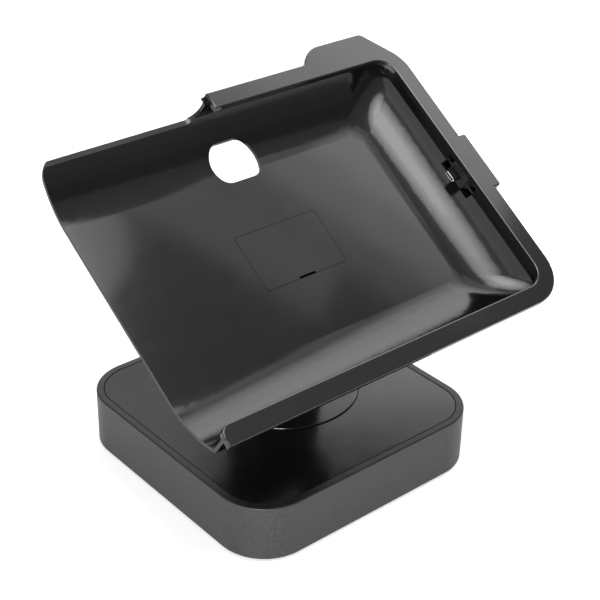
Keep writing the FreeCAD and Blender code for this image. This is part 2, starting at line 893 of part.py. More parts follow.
def make_pad_and_cover_screws():
    body = new_body("pad_body")
    outline = pad_sketch(body, "pad_outline", as_size(0), as_size(0))
    pad(body, outline, base_low + s.pad_recess, "pad_sheet")
    fillet(body, s.pad_proud / 2, "pad_rounding", lambda edge: at_height(edge, 0.0))
    node("rubber_pad", body)
    screws = []
    for i, place_xy in enumerate(boss_places):
        screws.append(screw("cover_screw%d" % i, s.cover_screw_head_radius, s.cover_screw_head_height,
                            s.cover_screw_radius, s.cover_screw_length, "z", place_xy,
                            base_low + s.cover_screw_head_height, -1))
    node("bottom_cover_screws", group("bottom_cover_screws", screws))


def make_ballast():
    front = s.base_wall + s.cover_gap + s.ballast_setback - half_depth
    blank = box("ballast_blank", (-s.ballast_width / 2, s.ballast_width / 2),
                (front, front + s.ballast_depth), (cover_high, cover_high + s.ballast_thickness))
    node("ballast_plate", round_edges("ballast_plate", blank, s.hub_corner,
                                      lambda edge: is_straight_along(edge, "z")))


def make_deck():
    body = new_body("deck_body")
    outline = rounded_sketch(body, "deck_outline", "XY_Plane", deck_low,
                             *inset_rectangle(s.base_wall + s.deck_edge_gap))
    pad(body, outline, s.deck_thickness, "deck_sheet")
    through = (deck_low - OVER, ledge_low + OVER)
    tools = [cylinder("deck_bore", s.spindle_radius + s.bush_clearance + s.bush_wall, "z", swivel, through)]
    for i, place_xy in enumerate(boss_places):
        tools.append(cylinder("deck_notch%d" % i, s.boss_radius + s.deck_notch_gap, "z", place_xy, through))
    for i, place_xy in enumerate(deck_screw_places):
        tools.append(cylinder("deck_screw_hole%d" % i, s.deck_screw_radius, "z", place_xy, through))
    slot_half = s.stop_pin_radius + s.stop_slot_gap
    overrun = arc_sine((s.stop_pin_radius + s.stop_slot_gap) / s.stop_pin_orbit)
    sweep = s.swivel_reach * 2 + overrun * 2
    sector = cylinder("stop_slot_outer", s.stop_pin_orbit + slot_half, "z", swivel, through, sweep)
    turn = Size(-90.0, "(0 - 90)") - s.swivel_reach - overrun
    sector.Placement.Rotation = FreeCAD.Rotation(FreeCAD.Vector(0, 0, 1), turn.number)
    bind(sector, "Placement.Rotation.Angle", turn + 360)
    core_span = (deck_low - OVER * 2, ledge_low + OVER * 2)
    core = cylinder("stop_slot_core", s.stop_pin_orbit - slot_half, "z", swivel, core_span)
    tools.append(cut("stop_slot", sector, [core]))
    node("deck_plate", cut("deck_plate", body, tools))
    screws = []
    for i, place_xy in enumerate(deck_screw_places):
        screws.append(screw("deck_screw%d" % i, s.deck_screw_head_radius, s.deck_screw_head_height,
                            s.deck_screw_radius, s.deck_thickness + s.deck_screw_bite, "z", place_xy,
                            deck_low, -1))
    node("deck_screws", group("deck_screws", screws))


def make_bearing():
    node("thrust_ring", tube("thrust_ring", s.thrust_outer_radius, s.thrust_inner_radius, "z", swivel,
                             (ledge_low, disc_low - s.thrust_clearance)))
    bore = s.spindle_radius + s.bush_clearance
    sleeve = cylinder("bush_sleeve", bore + s.bush_wall, "z", swivel, (deck_low - OVER, ledge_low))
    flange = cylinder("bush_flange", bore + s.bush_wall + s.bush_flange_width, "z", swivel,
                      (deck_low - s.bush_flange_thickness, deck_low))
    hole = cylinder("bush_bore", bore, "z", swivel, (deck_low - OVER * 3, ledge_low + OVER))
    node("spindle_bush", cut("spindle_bush", fuse("bush_blank", [sleeve, flange]), [hole]))


def make_turntable():
    blank = cylinder("disc_blank", s.disc_radius, "z", swivel, (disc_low, disc_high))
    rounded = round_edges("disc_rounded", blank, s.disc_rounding,
                          lambda edge: at_height(edge, disc_high.number))
    through = (disc_low - OVER, disc_high + OVER)
    tools = [cylinder("disc_bore", s.spindle_bore_radius, "z", swivel, through)]
    for i, place_xy in enumerate(frame_screw_places):
        tools.append(cylinder("disc_screw_hole%d" % i, s.frame_screw_radius, "z", place_xy, through))
    pin_place = (axis_x, axis_y - s.stop_pin_orbit)
    pin_span = (disc_low + s.stop_pin_bite - s.stop_pin_length, disc_low + s.stop_pin_bite)
    tools.append(cylinder("pin_hole", s.stop_pin_radius, "z", pin_place, (disc_low - OVER, pin_span[1])))
    node("turntable_disc", cut("turntable_disc", rounded, tools))
    node("stop_pin", cylinder("stop_pin", s.stop_pin_radius, "z", pin_place, pin_span))
    flange_low = disc_low - s.spindle_flange_thickness
    flange = cylinder("spindle_flange", s.spindle_flange_radius, "z", swivel, (flange_low, disc_low))
    stem = cylinder("spindle_stem", s.spindle_radius, "z", swivel, (disc_low - s.spindle_length, disc_low))
    bore = cylinder("spindle_bore", s.spindle_bore_radius, "z", swivel,
                    (disc_low - s.spindle_length - OVER, disc_low + OVER))
    tools = [bore]
    for i, place_xy in enumerate(frame_screw_places):
        tools.append(cylinder("flange_screw_hole%d" % i, s.frame_screw_radius, "z", place_xy,
                              (flange_low - OVER, disc_low + OVER)))
    node("spindle", cut("spindle", fuse("spindle_blank", [flange, stem]), tools))
    washer_high = deck_low - s.bush_flange_thickness - s.washer_gap
    washer_low = washer_high - s.spring_washer_thickness
    node("spring_washer", tube("spring_washer", s.spindle_radius + s.spring_washer_width,
                               s.spindle_radius + s.bush_clearance, "z", swivel, (washer_low, washer_high)))
    nut_high = washer_low - s.washer_gap
    nut = hexagon("nut_blank", s.spindle_nut_across, "z", swivel,
                  (nut_high - s.spindle_nut_thickness, nut_high))
    thread = cylinder("nut_bore", s.spindle_radius, "z", swivel,
                      (nut_high - s.spindle_nut_thickness - OVER, nut_high + OVER))
    node("spindle_nut", cut("spindle_nut", nut, [thread]))


# The neck is drawn in its own frame, with its middle at x = 0 and the tilt axis at y = 0
frame_screw_places = four_places(s.frame_screw_across, s.frame_screw_along,
                                 (axis_x, axis_y + s.frame_screw_setback))
neck_screw_places = four_places(s.frame_screw_across, s.frame_screw_along,
                                (0.0, s.frame_screw_setback - s.neck_setback))
frame_base_high = disc_high + s.frame_base_thickness
upright_outer = s.upright_inner + s.upright_thickness
hinge_y = axis_y + s.neck_setback
hinge_axis = (Size(0, "0"), s.hinge_height)


def in_neck(name, piece):
    """Hand in a piece that is drawn in the neck's frame."""
    place(piece, (axis_x, hinge_y, Size(0, "0")))
    return node(name, piece)


def make_neck_frame():
    base = box("frame_base", (-s.frame_base_half_width, s.frame_base_half_width),
               (-s.frame_base_half_depth, s.frame_base_half_depth),
               (disc_high, frame_base_high))
    pieces = [base]
    for side, name in ((-1, "left"), (1, "right")):
        x = sorted((s.upright_inner * side, upright_outer * side), key=lambda size: size.number)
        pieces.append(box(name + "_upright", x,
                          (-s.upright_half_depth, s.upright_half_depth),
                          (disc_high, s.hinge_height)))
        pieces.append(cylinder(name + "_eye", s.upright_half_depth, "x", hinge_axis, x))
    web_y = (s.web_setback, s.web_setback + s.web_thickness)
    pieces.append(box("frame_web", (-s.upright_inner - s.upright_thickness / 2,
                                    s.upright_inner + s.upright_thickness / 2),
                      web_y, (s.web_low, s.web_high)))
    tools = [cylinder("frame_lead_hole", s.spindle_bore_radius, "z", (0, -s.neck_setback),
                      (disc_high - OVER, frame_base_high + OVER)),
             cylinder("frame_pin_bores", s.pin_radius + s.pin_clearance, "x", hinge_axis,
                      (-upright_outer - OVER, upright_outer + OVER))]
    for i, place_xy in enumerate(neck_screw_places):
        tools.append(cylinder("frame_screw_hole%d" % i, s.frame_screw_radius, "z", place_xy,
                              (disc_high - OVER, frame_base_high + OVER)))
    for i, height in enumerate((s.shell_fixing_low, s.shell_fixing_high)):
        tools.append(cylinder("web_screw_hole%d" % i, s.shell_screw_radius, "y", (0, height),
                              (web_y[0] - OVER, web_y[1] + OVER)))
    in_neck("neck_frame", cut("neck_frame", fuse("frame_blank", pieces), tools))
    screws = []
    for i, place_xy in enumerate(neck_screw_places):
        screws.append(screw("frame_screw%d" % i, s.frame_screw_head_radius, s.frame_screw_head_height,
                            s.frame_screw_radius, s.frame_screw_length, "z", place_xy, frame_base_high, 1))
    in_neck("neck_frame_screws", group("neck_frame_screws", screws))


def neck_volume(name, inset):
    """The neck's outside, or its inside where the inset is the wall."""
    inset = as_size(inset)
    corner = s.neck_rounding - inset * (s.neck_rounding - 0.8) / s.neck_wall
    levels = (
        (disc_high, s.neck_foot_half_width, s.neck_foot_half_depth),
        (s.neck_waist_low, s.neck_waist_low_half_width, s.neck_waist_low_half_depth),
        (s.neck_waist_high, s.head_half_width + 0.3, s.head_radius + 0.1),
        (s.hinge_height, s.head_half_width, s.head_radius),
    )
    body = new_body(name + "_column")
    sketches = []
    for i, (height, wide, deep) in enumerate(levels):
        x = (inset - wide, wide - inset)
        y = (inset - deep, deep - inset)
        sketches.append(rounded_sketch(body, "%s_section%d" % (name, i), "XY_Plane", height, x, y, corner))
    loft = body.newObject("PartDesign::AdditiveLoft", name + "_loft")
    loft.Profile = sketches[0]
    loft.Sections = sketches[1:]
    half = s.head_half_width - inset
    blank = cylinder(name + "_head_blank", s.head_radius - inset, "x", hinge_axis, (-half, half))
    head = round_edges(name + "_head", blank, corner, lambda edge: isinstance(edge.Curve, Part.Circle))
    return fuse(name, [body, head])


def make_neck_shells():
    outside = neck_volume("neck_outside", 0)
    inside = neck_volume("neck_inside", s.neck_wall)
    hollow = cut("neck_skin", outside, [inside])
    reach = s.neck_foot_half_width + OVER
    top = s.hinge_height + s.head_radius + OVER
    window = box("lead_window", (s.lead_side - s.lead_slot_half_width, s.lead_side + s.lead_slot_half_width),
                 (-s.head_radius * 0.36, s.head_radius * 0.82),
                 (s.hinge_height + s.head_radius * 0.45, top))
    bores = cylinder("shell_pin_bores", s.pin_shoulder_radius + s.pin_shoulder_gap, "x", hinge_axis,
                     (-reach, reach))
    skin = cut("neck_open_skin", hollow, [window, bores])
    front_y = (-s.neck_foot_half_depth - OVER, -s.neck_seam / 2)
    rear_y = (s.neck_seam / 2, s.neck_foot_half_depth + OVER)
    front = box("front_half", (-reach, reach), front_y, (disc_high - OVER, top))
    rear = box("rear_half", (-reach, reach), rear_y, (disc_high - OVER, top))
    in_neck("neck_front_shell", common("neck_front_shell", skin, front))
    web_rear = s.web_setback + s.web_thickness
    posts = []
    holes = []
    screws = []
    seat = web_rear + s.shell_seat_depth
    for i, height in enumerate((s.shell_fixing_low, s.shell_fixing_high)):
        post_radius = s.shell_screw_head_radius + s.neck_wall / 2
        posts.append(cylinder("shell_post%d" % i, post_radius, "y", (0, height),
                              (web_rear, s.head_radius - s.neck_wall / 2)))
        holes.append(cylinder("shell_post_bore%d" % i, s.shell_screw_radius + s.port_gap, "y", (0, height),
                              (web_rear - OVER, seat + OVER)))
        holes.append(cylinder("shell_counterbore%d" % i, s.shell_screw_head_radius + s.port_gap, "y",
                              (0, height), (seat, s.neck_foot_half_depth + OVER)))
        screws.append(screw("shell_screw%d" % i, s.shell_screw_head_radius, s.shell_screw_head_height,
                            s.shell_screw_radius, seat - web_rear + s.web_thickness, "y", (0, height),
                            seat, 1))
    rear_skin = common("rear_skin", skin, rear)
    in_neck("neck_rear_shell", cut("neck_rear_shell", fuse("rear_with_posts", [rear_skin] + posts), holes))
    in_neck("neck_shell_screws", group("neck_shell_screws", screws))


def make_hinge_pins():
    """Two stub pins, turned in the neck frame's eyes and fixed in the bracket's ears."""
    pins = []
    springs = []
    nuts = []
    shoulder_start = upright_outer + s.pin_clearance * 2
    spring_span = (s.upright_inner - s.pin_clearance - s.hinge_spring_thickness,
                   s.upright_inner - s.pin_clearance)
    nut_span = (spring_span[0] - s.hinge_nut_thickness, spring_span[0])
    for side, name in ((-1, "left"), (1, "right")):

        def span(low, high, way=side):
            return sorted((as_size(low) * way, as_size(high) * way), key=lambda size: size.number)

        stem = cylinder(name + "_pin_stem", s.pin_radius, "x", hinge_axis,
                        span(s.pin_inner_end, s.ear_inner + s.ear_thickness))
        shoulder = cylinder(name + "_pin_shoulder", s.pin_shoulder_radius, "x", hinge_axis,
                            span(shoulder_start, s.ear_inner))
        head = cylinder(name + "_pin_head", s.pin_head_radius, "x", hinge_axis,
                        span(s.ear_inner + s.ear_thickness,
                             s.ear_inner + s.ear_thickness + s.pin_head_thickness))
        pins.append(fuse(name + "_pin", [stem, shoulder, head]))
        springs.append(tube(name + "_spring", s.hinge_spring_radius, s.pin_radius, "x", hinge_axis,
                            span(*spring_span)))
        blank = hexagon(name + "_nut_blank", s.hinge_nut_across, "x", hinge_axis, span(*nut_span))
        thread = cylinder(name + "_nut_thread", s.pin_radius, "x", hinge_axis,
                          span(nut_span[0] - OVER, nut_span[1] + OVER))
        nuts.append(cut(name + "_nut", blank, [thread]))
    in_neck("hinge_pins", group("hinge_pins", pins))
    in_neck("hinge_springs", group("hinge_springs", springs))
    in_neck("hinge_nuts", group("hinge_nuts", nuts))


# Places in the cradle's own frame
tray_left = -s.cradle_left
tray_right = s.cradle_right
hinge_down = -s.hinge_drop
hub = (Size(0, "0"), s.hub_up)
bezel_low = -s.bezel_thickness
floor_back = -s.tray_depth
floor_front = floor_back + s.tray_wall
well_floor_front = floor_front - s.well_depth
well_floor_back = well_floor_front - s.tray_wall
plate_back = well_floor_back - s.bracket_thickness
access_half_width = s.access_width / 2
access_half_height = s.access_height / 2
hub_back = plate_back - s.hub_bottom_gap - s.hub_wall

cradle_y = hinge_y - cosine(s.screen_angle) * s.hub_up - sine(s.screen_angle) * s.hinge_drop
cradle_z = s.hinge_height - sine(s.screen_angle) * s.hub_up + cosine(s.screen_angle) * s.hinge_drop


def in_cradle(name, piece):
    """Hand in a piece that is drawn in the cradle's frame."""
    turn = FreeCAD.Rotation(FreeCAD.Vector(1, 0, 0), s.screen_angle.number)
    place(piece, (axis_x, cradle_y, cradle_z), turn)
    bind(piece, "Placement.Rotation.Angle", s.screen_angle)
    return node(name, piece)


def make_bezel():
    body = new_body("bezel_body")
    h = s.cradle_height
    inner_right = tray_right - s.bezel_side
    points = [
        (tray_left, 0),
        (tray_right, 0),
        (tray_right, s.hub_up - s.tab_half_height),
        (tray_right + s.tab_reach, s.hub_up - s.tab_half_height),
        (tray_right + s.tab_reach, s.hub_up + s.tab_half_height),
        (tray_right, s.hub_up + s.tab_half_height),
        (tray_right, h - s.ledge_slope_drop),
        (s.ledge_top_right, h + s.ledge_rise),
        (s.ledge_top_left, h + s.ledge_rise),
        (s.ledge_foot_left, h),
        (-s.top_bar_start, h),
        (-s.top_bar_start, h - s.bezel_top),
        (inner_right, h - s.bezel_top),
        (inner_right, s.bezel_bottom),
        (tray_left, s.bezel_bottom),
    ]
    outline = polygon_sketch(body, "bezel_outline", "XY_Plane", bezel_low, points)
    pad(body, outline, s.bezel_thickness, "bezel_plate")
    corners = (
        (1, s.outer_low_corner), (3, s.tab_corner), (4, s.tab_corner), (6, s.outer_high_corner),
        (7, s.ledge_right_corner), (8, s.ledge_left_corner), (12, s.inner_high_corner),
        (13, s.inner_low_corner), (14, s.lip_corner),
    )
    for index, radius in corners:
        fillet_corner(body, outline, index, radius, "bezel_corner%d" % index)
    fillet(body, s.bezel_rounding, "bezel_rounding", lambda edge: at_height(edge, 0.0))
    pilots = [cylinder("bezel_pilot%d" % i, s.small_screw_radius, "z", place_xy,
                       (bezel_low - OVER, bezel_low + s.bezel_thickness / 2))
              for i, place_xy in enumerate(bezel_screw_places)]
    in_cradle("cradle_bezel", cut("cradle_bezel", body, pilots))


wall_low = s.wall_inset_low
wall_high = s.cradle_height - s.wall_inset_high
wall_right = tray_right - s.wall_inset_side
bezel_boss_radius = s.small_screw_head_radius + s.small_boss_wall
bezel_boss_out = bezel_boss_radius * 0.76
bezel_screw_places = [
    (s.bezel_screw_near, wall_high + bezel_boss_out),
    (s.ledge_foot_left - s.bezel_screw_far, wall_high + bezel_boss_out),
    (wall_right + bezel_boss_out, s.hub_up - s.tab_half_height - s.bezel_screw_low),
    (wall_right + bezel_boss_out, s.hub_up + s.tab_half_height + s.bezel_screw_high),
]


def tray_volume(name, inset, lid):
    """The tray's outside, or its inside where the inset is the wall: walls over a coved dish."""
    inset = as_size(inset)
    radius = s.cove_radius - inset
    run = s.cove_run - inset
    body = new_body(name)
    sketches = []
    for i, part in enumerate((1.0, 0.78, 0.54, 0.28, 0.0)):
        reach = run * part
        down = root(radius * radius - reach * reach)
        height = floor_back + s.cove_radius - down
        away = s.cove_run - reach
        x = (tray_left - s.cove_run * 2 + away, wall_right - away)
        y = (wall_low + away, wall_high - away)
        corner = s.floor_corner + (s.wall_corner - s.floor_corner - inset) * part
        sketches.append(rounded_sketch(body, "%s_section%d" % (name, i), "XY_Plane", height, x, y, corner))
        if i == 0:
            walls = rounded_sketch(body, name + "_walls", "XY_Plane", height, x, y, corner)
            pad(body, walls, lid - height, name + "_wall_pad")
    loft = body.newObject("PartDesign::AdditiveLoft", name + "_loft")
    loft.Profile = sketches[0]
    loft.Sections = sketches[1:]
    doc.recompute()
    return body


def stadium(name, half_width_, half_height_, corner, centre, span):
    """A block with rounded upright edges, for openings through the tray."""
    x, y = centre
    blank = box(name + "_blank", (x - half_width_, x + half_width_),
                (y - half_height_, y + half_height_), span)
    return round_edges(name, blank, corner, lambda edge: is_straight_along(edge, "z"))


def make_tray():
    outside = tray_volume("tray_outside", 0, bezel_low)
    inside = tray_volume("tray_inside", s.tray_wall, as_size(5))
    far = s.cradle_height * 2
    well_x = access_half_width + s.access_gap + s.well_side_room
    well_low = s.hub_up - access_half_height - s.access_gap
    well_high = s.hub_up + access_half_height + s.access_gap + s.well_hook_room
    well = box("well_block", (-well_x - s.tray_wall, well_x + s.tray_wall),
               (well_low - s.tray_wall, well_high + s.tray_wall),
               (well_floor_back, floor_back + s.tray_wall / 2))
    well_hollow = box("well_hollow", (-well_x, well_x), (well_low, well_high), (well_floor_front, floor_back))
    posts = []
    for i, place_xy in enumerate(four_places(access_half_width - s.well_post_inset,
                                             access_half_height - s.well_post_inset, hub)):
        posts.append(cylinder("well_post%d" % i, s.well_post_radius, "z", place_xy,
                              (well_floor_front - s.tray_wall / 2, floor_front - s.access_thickness)))
    shell = cut("tray_shell", fuse("tray_with_well", [outside, well]), [inside, well_hollow])
    opening = stadium("access_opening", access_half_width + s.access_gap, access_half_height + s.access_gap,
                      s.access_corner, hub, (floor_back - OVER, floor_front + OVER))
    left = box("left_end", (tray_left - far, tray_left), (-far, far), (floor_back - OVER, as_size(OVER)))
    cutaway_blank = box("cutaway_blank", (tray_left - far, -s.cutaway_start),
                        (s.cradle_height / 2, far), (-s.cutaway_drop, as_size(far)))

    def flare_edge(edge):
        limits = edge.BoundBox
        at_corner = abs(limits.XMin + s.cutaway_start.number) < 1e-4
        return is_straight_along(edge, "y") and at_corner and abs(limits.ZMin + s.cutaway_drop.number) < 1e-4

    cutaway = round_edges("cutaway", cutaway_blank, s.cutaway_flare, flare_edge)
    corner_x = tray_left + s.tray_top_corner
    corner_y = wall_high - s.tray_top_corner
    corner_span = (floor_back - OVER, as_size(OVER))
    corner_block = box("corner_block", (tray_left - OVER, corner_x),
                       (corner_y, wall_high + OVER), corner_span)
    corner_round = cylinder("corner_round", s.tray_top_corner, "z", (corner_x, corner_y),
                            (floor_back - OVER * 2, as_size(OVER * 2)))
    corner = cut("corner_cut", corner_block, [corner_round])
    round_hole = cylinder("camera_round", s.camera_hole_radius, "z", (0, s.camera_hole_up),
                          (floor_back * 2, as_size(0)))
    slab = box("camera_slab", (-s.camera_hole_radius * 2, s.camera_hole_radius * 2),
               (s.camera_hole_up - s.camera_hole_below, s.camera_hole_up + s.camera_hole_above),
               (floor_back * 2, as_size(0)))

    def hole_corner(edge):
        middle = edge.BoundBox.Center
        seam = abs(middle.y - s.camera_hole_up.number) < 1e-3
        return is_straight_along(edge, "z") and not seam

    camera = round_edges("camera_hole", common("camera_sharp", round_hole, slab), s.camera_hole_rounding,
                         hole_corner)
    slot = box("carriage_slot", (wall_right - s.tray_wall * 4, wall_right + OVER),
               (s.hub_up - s.slot_half_height, s.hub_up + s.slot_half_height), (-s.slot_bottom, -s.slot_top))
    holes = []
    for i, place_xy in enumerate(bracket_screw_places):
        holes.append(cylinder("bracket_hole%d" % i, s.bracket_screw_radius, "z", place_xy,
                              (well_floor_back - OVER, well_floor_front + OVER)))
    bosses = [box("bar_rest", (s.bezel_rounding - s.cutaway_start, -s.cutaway_start / 3),
                  (wall_high - s.tray_wall / 2, s.cradle_height),
                  (bezel_low - s.bar_rest_thickness, bezel_low))]
    boss_low = bezel_low - s.small_screw_length / 2
    for i, place_xy in enumerate(bezel_screw_places):
        bosses.append(cylinder("bezel_boss%d" % i, bezel_boss_radius, "z", place_xy, (boss_low, bezel_low)))
        holes.append(cylinder("bezel_hole%d" % i, s.small_screw_radius, "z", place_xy,
                              (boss_low - OVER, bezel_low + OVER)))
        holes.append(cylinder("bezel_head_room%d" % i, s.small_screw_head_radius + s.screw_head_gap / 3, "z",
                              place_xy, (boss_low - s.small_screw_head_height * 2, boss_low)))
    solid = cut("tray_open", fuse("tray_fused", [shell] + posts + bosses),
                [opening, left, cutaway, corner, camera, slot] + holes)
    in_cradle("cradle_tray", solid)
    screws = []
    for i, place_xy in enumerate(bezel_screw_places):
        screws.append(screw("bezel_screw%d" % i, s.small_screw_head_radius, s.small_screw_head_height,
                            s.small_screw_radius, s.small_screw_length / 2 + s.bezel_thickness / 2, "z",
                            place_xy, bezel_low - s.small_screw_length / 2, -1))
    in_cradle("bezel_screws", group("bezel_screws", screws))


bracket_screw_places = four_places(s.bracket_screw_across, s.bracket_screw_along, hub)


def make_bracket():
    plate = box("bracket_plate", (-s.bracket_half_width, s.bracket_half_width),
                (s.hub_up - s.bracket_half_height, s.hub_up + s.bracket_half_height),
                (plate_back, well_floor_back))
    rounded = round_edges("bracket_plate_rounded", plate, s.access_corner * 2,
                          lambda edge: is_straight_along(edge, "z"))
    pieces = [rounded]
    for side, name in ((-1, "left"), (1, "right")):
        x = sorted((s.ear_inner * side, (s.ear_inner + s.ear_thickness) * side), key=lambda size: size.number)
        pieces.append(box(name + "_ear", x, (s.hub_up - s.ear_radius, s.hub_up + s.ear_radius),
                          (hinge_down, well_floor_back - s.bracket_thickness / 2)))
        pieces.append(cylinder(name + "_ear_end", s.ear_radius, "x", (s.hub_up, hinge_down), x))
    tools = [cylinder("ear_bores", s.pin_radius, "x", (s.hub_up, hinge_down),
                      (-s.bracket_half_width, s.bracket_half_width))]
    for i, place_xy in enumerate(bracket_screw_places):
        tools.append(cylinder("plate_hole%d" % i, s.bracket_screw_radius, "z", place_xy,
                              (plate_back - OVER, well_floor_back + OVER)))
    in_cradle("tilt_bracket", cut("tilt_bracket", fuse("bracket_blank", pieces), tools))
    screws = []
    for i, place_xy in enumerate(bracket_screw_places):
        screws.append(screw("bracket_screw%d" % i, s.bracket_screw_head_radius, s.bracket_screw_head_height,
                            s.bracket_screw_radius, s.bracket_screw_length, "z", place_xy,
                            well_floor_front, 1))
    in_cradle("bracket_screws", group("bracket_screws", screws))


def make_access_cover():
    plate = stadium("access_plate", access_half_width, access_half_height, s.access_corner, hub,
                    (floor_front - s.access_thickness, floor_front))
    pieces = [plate]
    edge = s.hub_up + access_half_height
    hook_high = floor_back - s.hook_gap
    for side, name in ((-1, "left"), (1, "right")):
        x = (s.hook_spacing * side - s.hook_half_width, s.hook_spacing * side + s.hook_half_width)
        pieces.append(box(name + "_hook", x, (edge - s.hook_reach - OVER, edge + s.hook_reach),
                          (hook_high - s.hook_thickness, hook_high)))
        pieces.append(box(name + "_hook_root", x, (edge - s.hook_reach - OVER, edge - s.hook_reach / 4),
                          (hook_high - s.hook_thickness, floor_front - s.access_thickness / 2)))
    low_edge = s.hub_up - access_half_height
    notch = box("pry_notch", (-s.pry_width / 2, s.pry_width / 2), (low_edge - OVER, low_edge + s.pry_height),
                (floor_front - s.access_thickness - OVER, floor_front + OVER))
    in_cradle("access_cover", cut("access_cover", fuse("access_blank", pieces), [notch]))


def make_hub_housing():
    x = (-s.hub_half_width, s.hub_half_width)
    y = (s.hub_up - s.hub_below, s.hub_up + s.hub_above)
    gap = s.pod_face_gap
    blank = box("hub_block_blank", x, y, (hub_back, floor_back - gap))
    block = round_edges("hub_block", blank, s.hub_corner, lambda edge: is_straight_along(edge, "z"))
    w = s.hub_wall
    pieces = [block]
    hollows = [box("hub_hollow", (x[0] + w, x[1] - w), (y[0] + w, y[1] - w),
                   (hub_back + w, floor_back + OVER))]
    holes = []
    for side, name in ((-1, "left"), (1, "right")):

        def span(low, high, way=side):
            return sorted((as_size(low) * way, as_size(high) * way), key=lambda size: size.number)

        outer = span(s.cheek_inner, s.hub_half_width)
        inner = span(s.cheek_inner + s.cheek_inner_wall, s.hub_half_width - w)
        centre = (s.hub_up, hinge_down)
        pieces.append(cylinder(name + "_cheek_end", s.cheek_radius, "x", centre, outer))
        pieces.append(box(name + "_cheek", outer, (s.hub_up - s.cheek_radius, s.hub_up + s.cheek_radius),
                          (hinge_down, hub_back + w / 2)))
        hollows.append(cylinder(name + "_cheek_hollow", s.cheek_radius - w, "x", centre, inner))
        hollows.append(box(name + "_cheek_room", inner, (s.hub_up - s.cheek_radius + w,
                                                         s.hub_up + s.cheek_radius - w),
                           (hinge_down, hub_back + w + OVER)))
        shoulder_room = s.pin_shoulder_radius + s.pin_shoulder_gap
        holes.append(cylinder(name + "_shoulder_hole", shoulder_room, "x", centre,
                              span(s.cheek_inner - OVER, s.cheek_inner + s.cheek_inner_wall + OVER)))
        holes.append(cylinder(name + "_cap_hole", s.cap_radius + s.port_gap, "x", centre,
                              span(s.hub_half_width - w - OVER, s.hub_half_width + OVER)))
    middle = box("neck_room", (-s.cheek_inner, s.cheek_inner),
                 (s.hub_up - s.bracket_half_height, s.hub_up + s.bracket_half_height + OVER),
                 (hub_back - OVER, hub_back + w + OVER))
    lead_slot = box("lead_slot", (s.lead_side - s.lead_slot_half_width, s.lead_side + s.lead_slot_half_width),
                    (s.hub_up, s.hub_up + s.lead_up), (hub_back - OVER, hub_back + w + OVER))
    exit_slot = box("lead_exit", (s.hub_half_width - w - OVER, s.hub_half_width + OVER),
                    (s.hub_up + s.lead_up - s.lead_radius * 1.5, s.hub_up + s.lead_up + s.lead_radius * 1.5),
                    (floor_back - s.lead_radius * 3, floor_back + OVER))
    solid = cut("hub_shell", fuse("hub_blank", pieces), hollows + holes + [middle, lead_slot, exit_slot])
    in_cradle("hub_housing", solid)
    caps = []
    for side, name in ((-1, "left"), (1, "right")):
        x = sorted(((s.hub_half_width - w) * side, s.hub_half_width * side), key=lambda size: size.number)
        caps.append(cylinder(name + "_cap", s.cap_radius, "x", (s.hub_up, hinge_down), x))
    in_cradle("hinge_caps", group("hinge_caps", caps))


def pod_profile(inset):
    """The connector housing's outline in the x-z plane, moved inwards by an inset."""
    inset = as_size(inset)
    return [
        (s.pod_left + inset, floor_front + OVER * 2),
        (s.pod_left + inset, -s.pod_depth + inset),
        (s.pod_right - s.pod_chamfer - inset * 0.6, -s.pod_depth + inset),
        (s.pod_right - inset, -s.pod_shoulder - inset * 0.6),
        (s.pod_right - inset, bezel_low - s.pod_face_gap - inset),
        (wall_right - OVER * 8, bezel_low - s.pod_face_gap - inset),
    ]


def pod_block(name, inset, low, high):
    """The connector housing's outline, run along the cradle's slope."""
    body = new_body(name)
    points = pod_profile(inset)
    sketch = polygon_sketch(body, name + "_outline", "XZ_Plane", -as_size(high), points)
    pad(body, sketch, as_size(high) - as_size(low), name + "_run")
    return body


def make_connector_housing():
    low = s.hub_up - s.tab_half_height
    high = s.hub_up + s.hub_above
    w = s.pod_wall
    outer = pod_block("pod_outer", 0, low, high)
    side_low = s.hub_up - s.tab_half_height + 0.1
    side_high = s.hub_up + s.tab_half_height - 0.1
    side_x = (wall_right - OVER, tray_right + s.pod_side_reach)
    side_top = bezel_low - s.pod_face_gap
    side = box("pod_side", side_x, (side_low, side_high), (-s.pod_side_bottom, side_top))
    inner = pod_block("pod_inner", w, low + w, high - w)
    room = s.plug_travel + s.slider_half_height + s.slider_room
    side_room = box("pod_side_room", (wall_right - OVER * 2, side_x[1] - w),
                    (s.hub_up - room, s.hub_up + room),
                    (-s.pod_side_bottom + w, side_top - w / 2))
    rod_span = (s.hub_up - rod_half, s.hub_up + rod_half)
    rod_end = cylinder("rod_seat", s.rod_radius, "y", (rod_x, -s.rod_down), rod_span)
    entry = box("pod_entry", (s.pod_left - OVER, s.pod_left + w + OVER),
                (s.hub_up + s.lead_up - s.lead_radius * 1.5, s.hub_up + s.lead_up + s.lead_radius * 1.5),
                (floor_back - s.lead_radius * 3, floor_back + OVER))
    blank = cut("pod_blank", fuse("pod_solid", [outer, side]), [doc.getObject("tray_outside")])
    in_cradle("connector_housing", cut("pod_shell", blank, [inner, side_room, rod_end, entry]))
    rod = cylinder("rod", s.rod_radius, "y", (rod_x, -s.rod_down), rod_span)
    in_cradle("carriage_rod", group("carriage_rod", [rod]))


slider_left = wall_right + s.slider_gap
slider_right = slider_left + s.slider_depth
rod_x = (slider_left + slider_right) / 2
rod_half = s.plug_travel + s.slider_half_height + s.slider_room + s.rod_end_bite


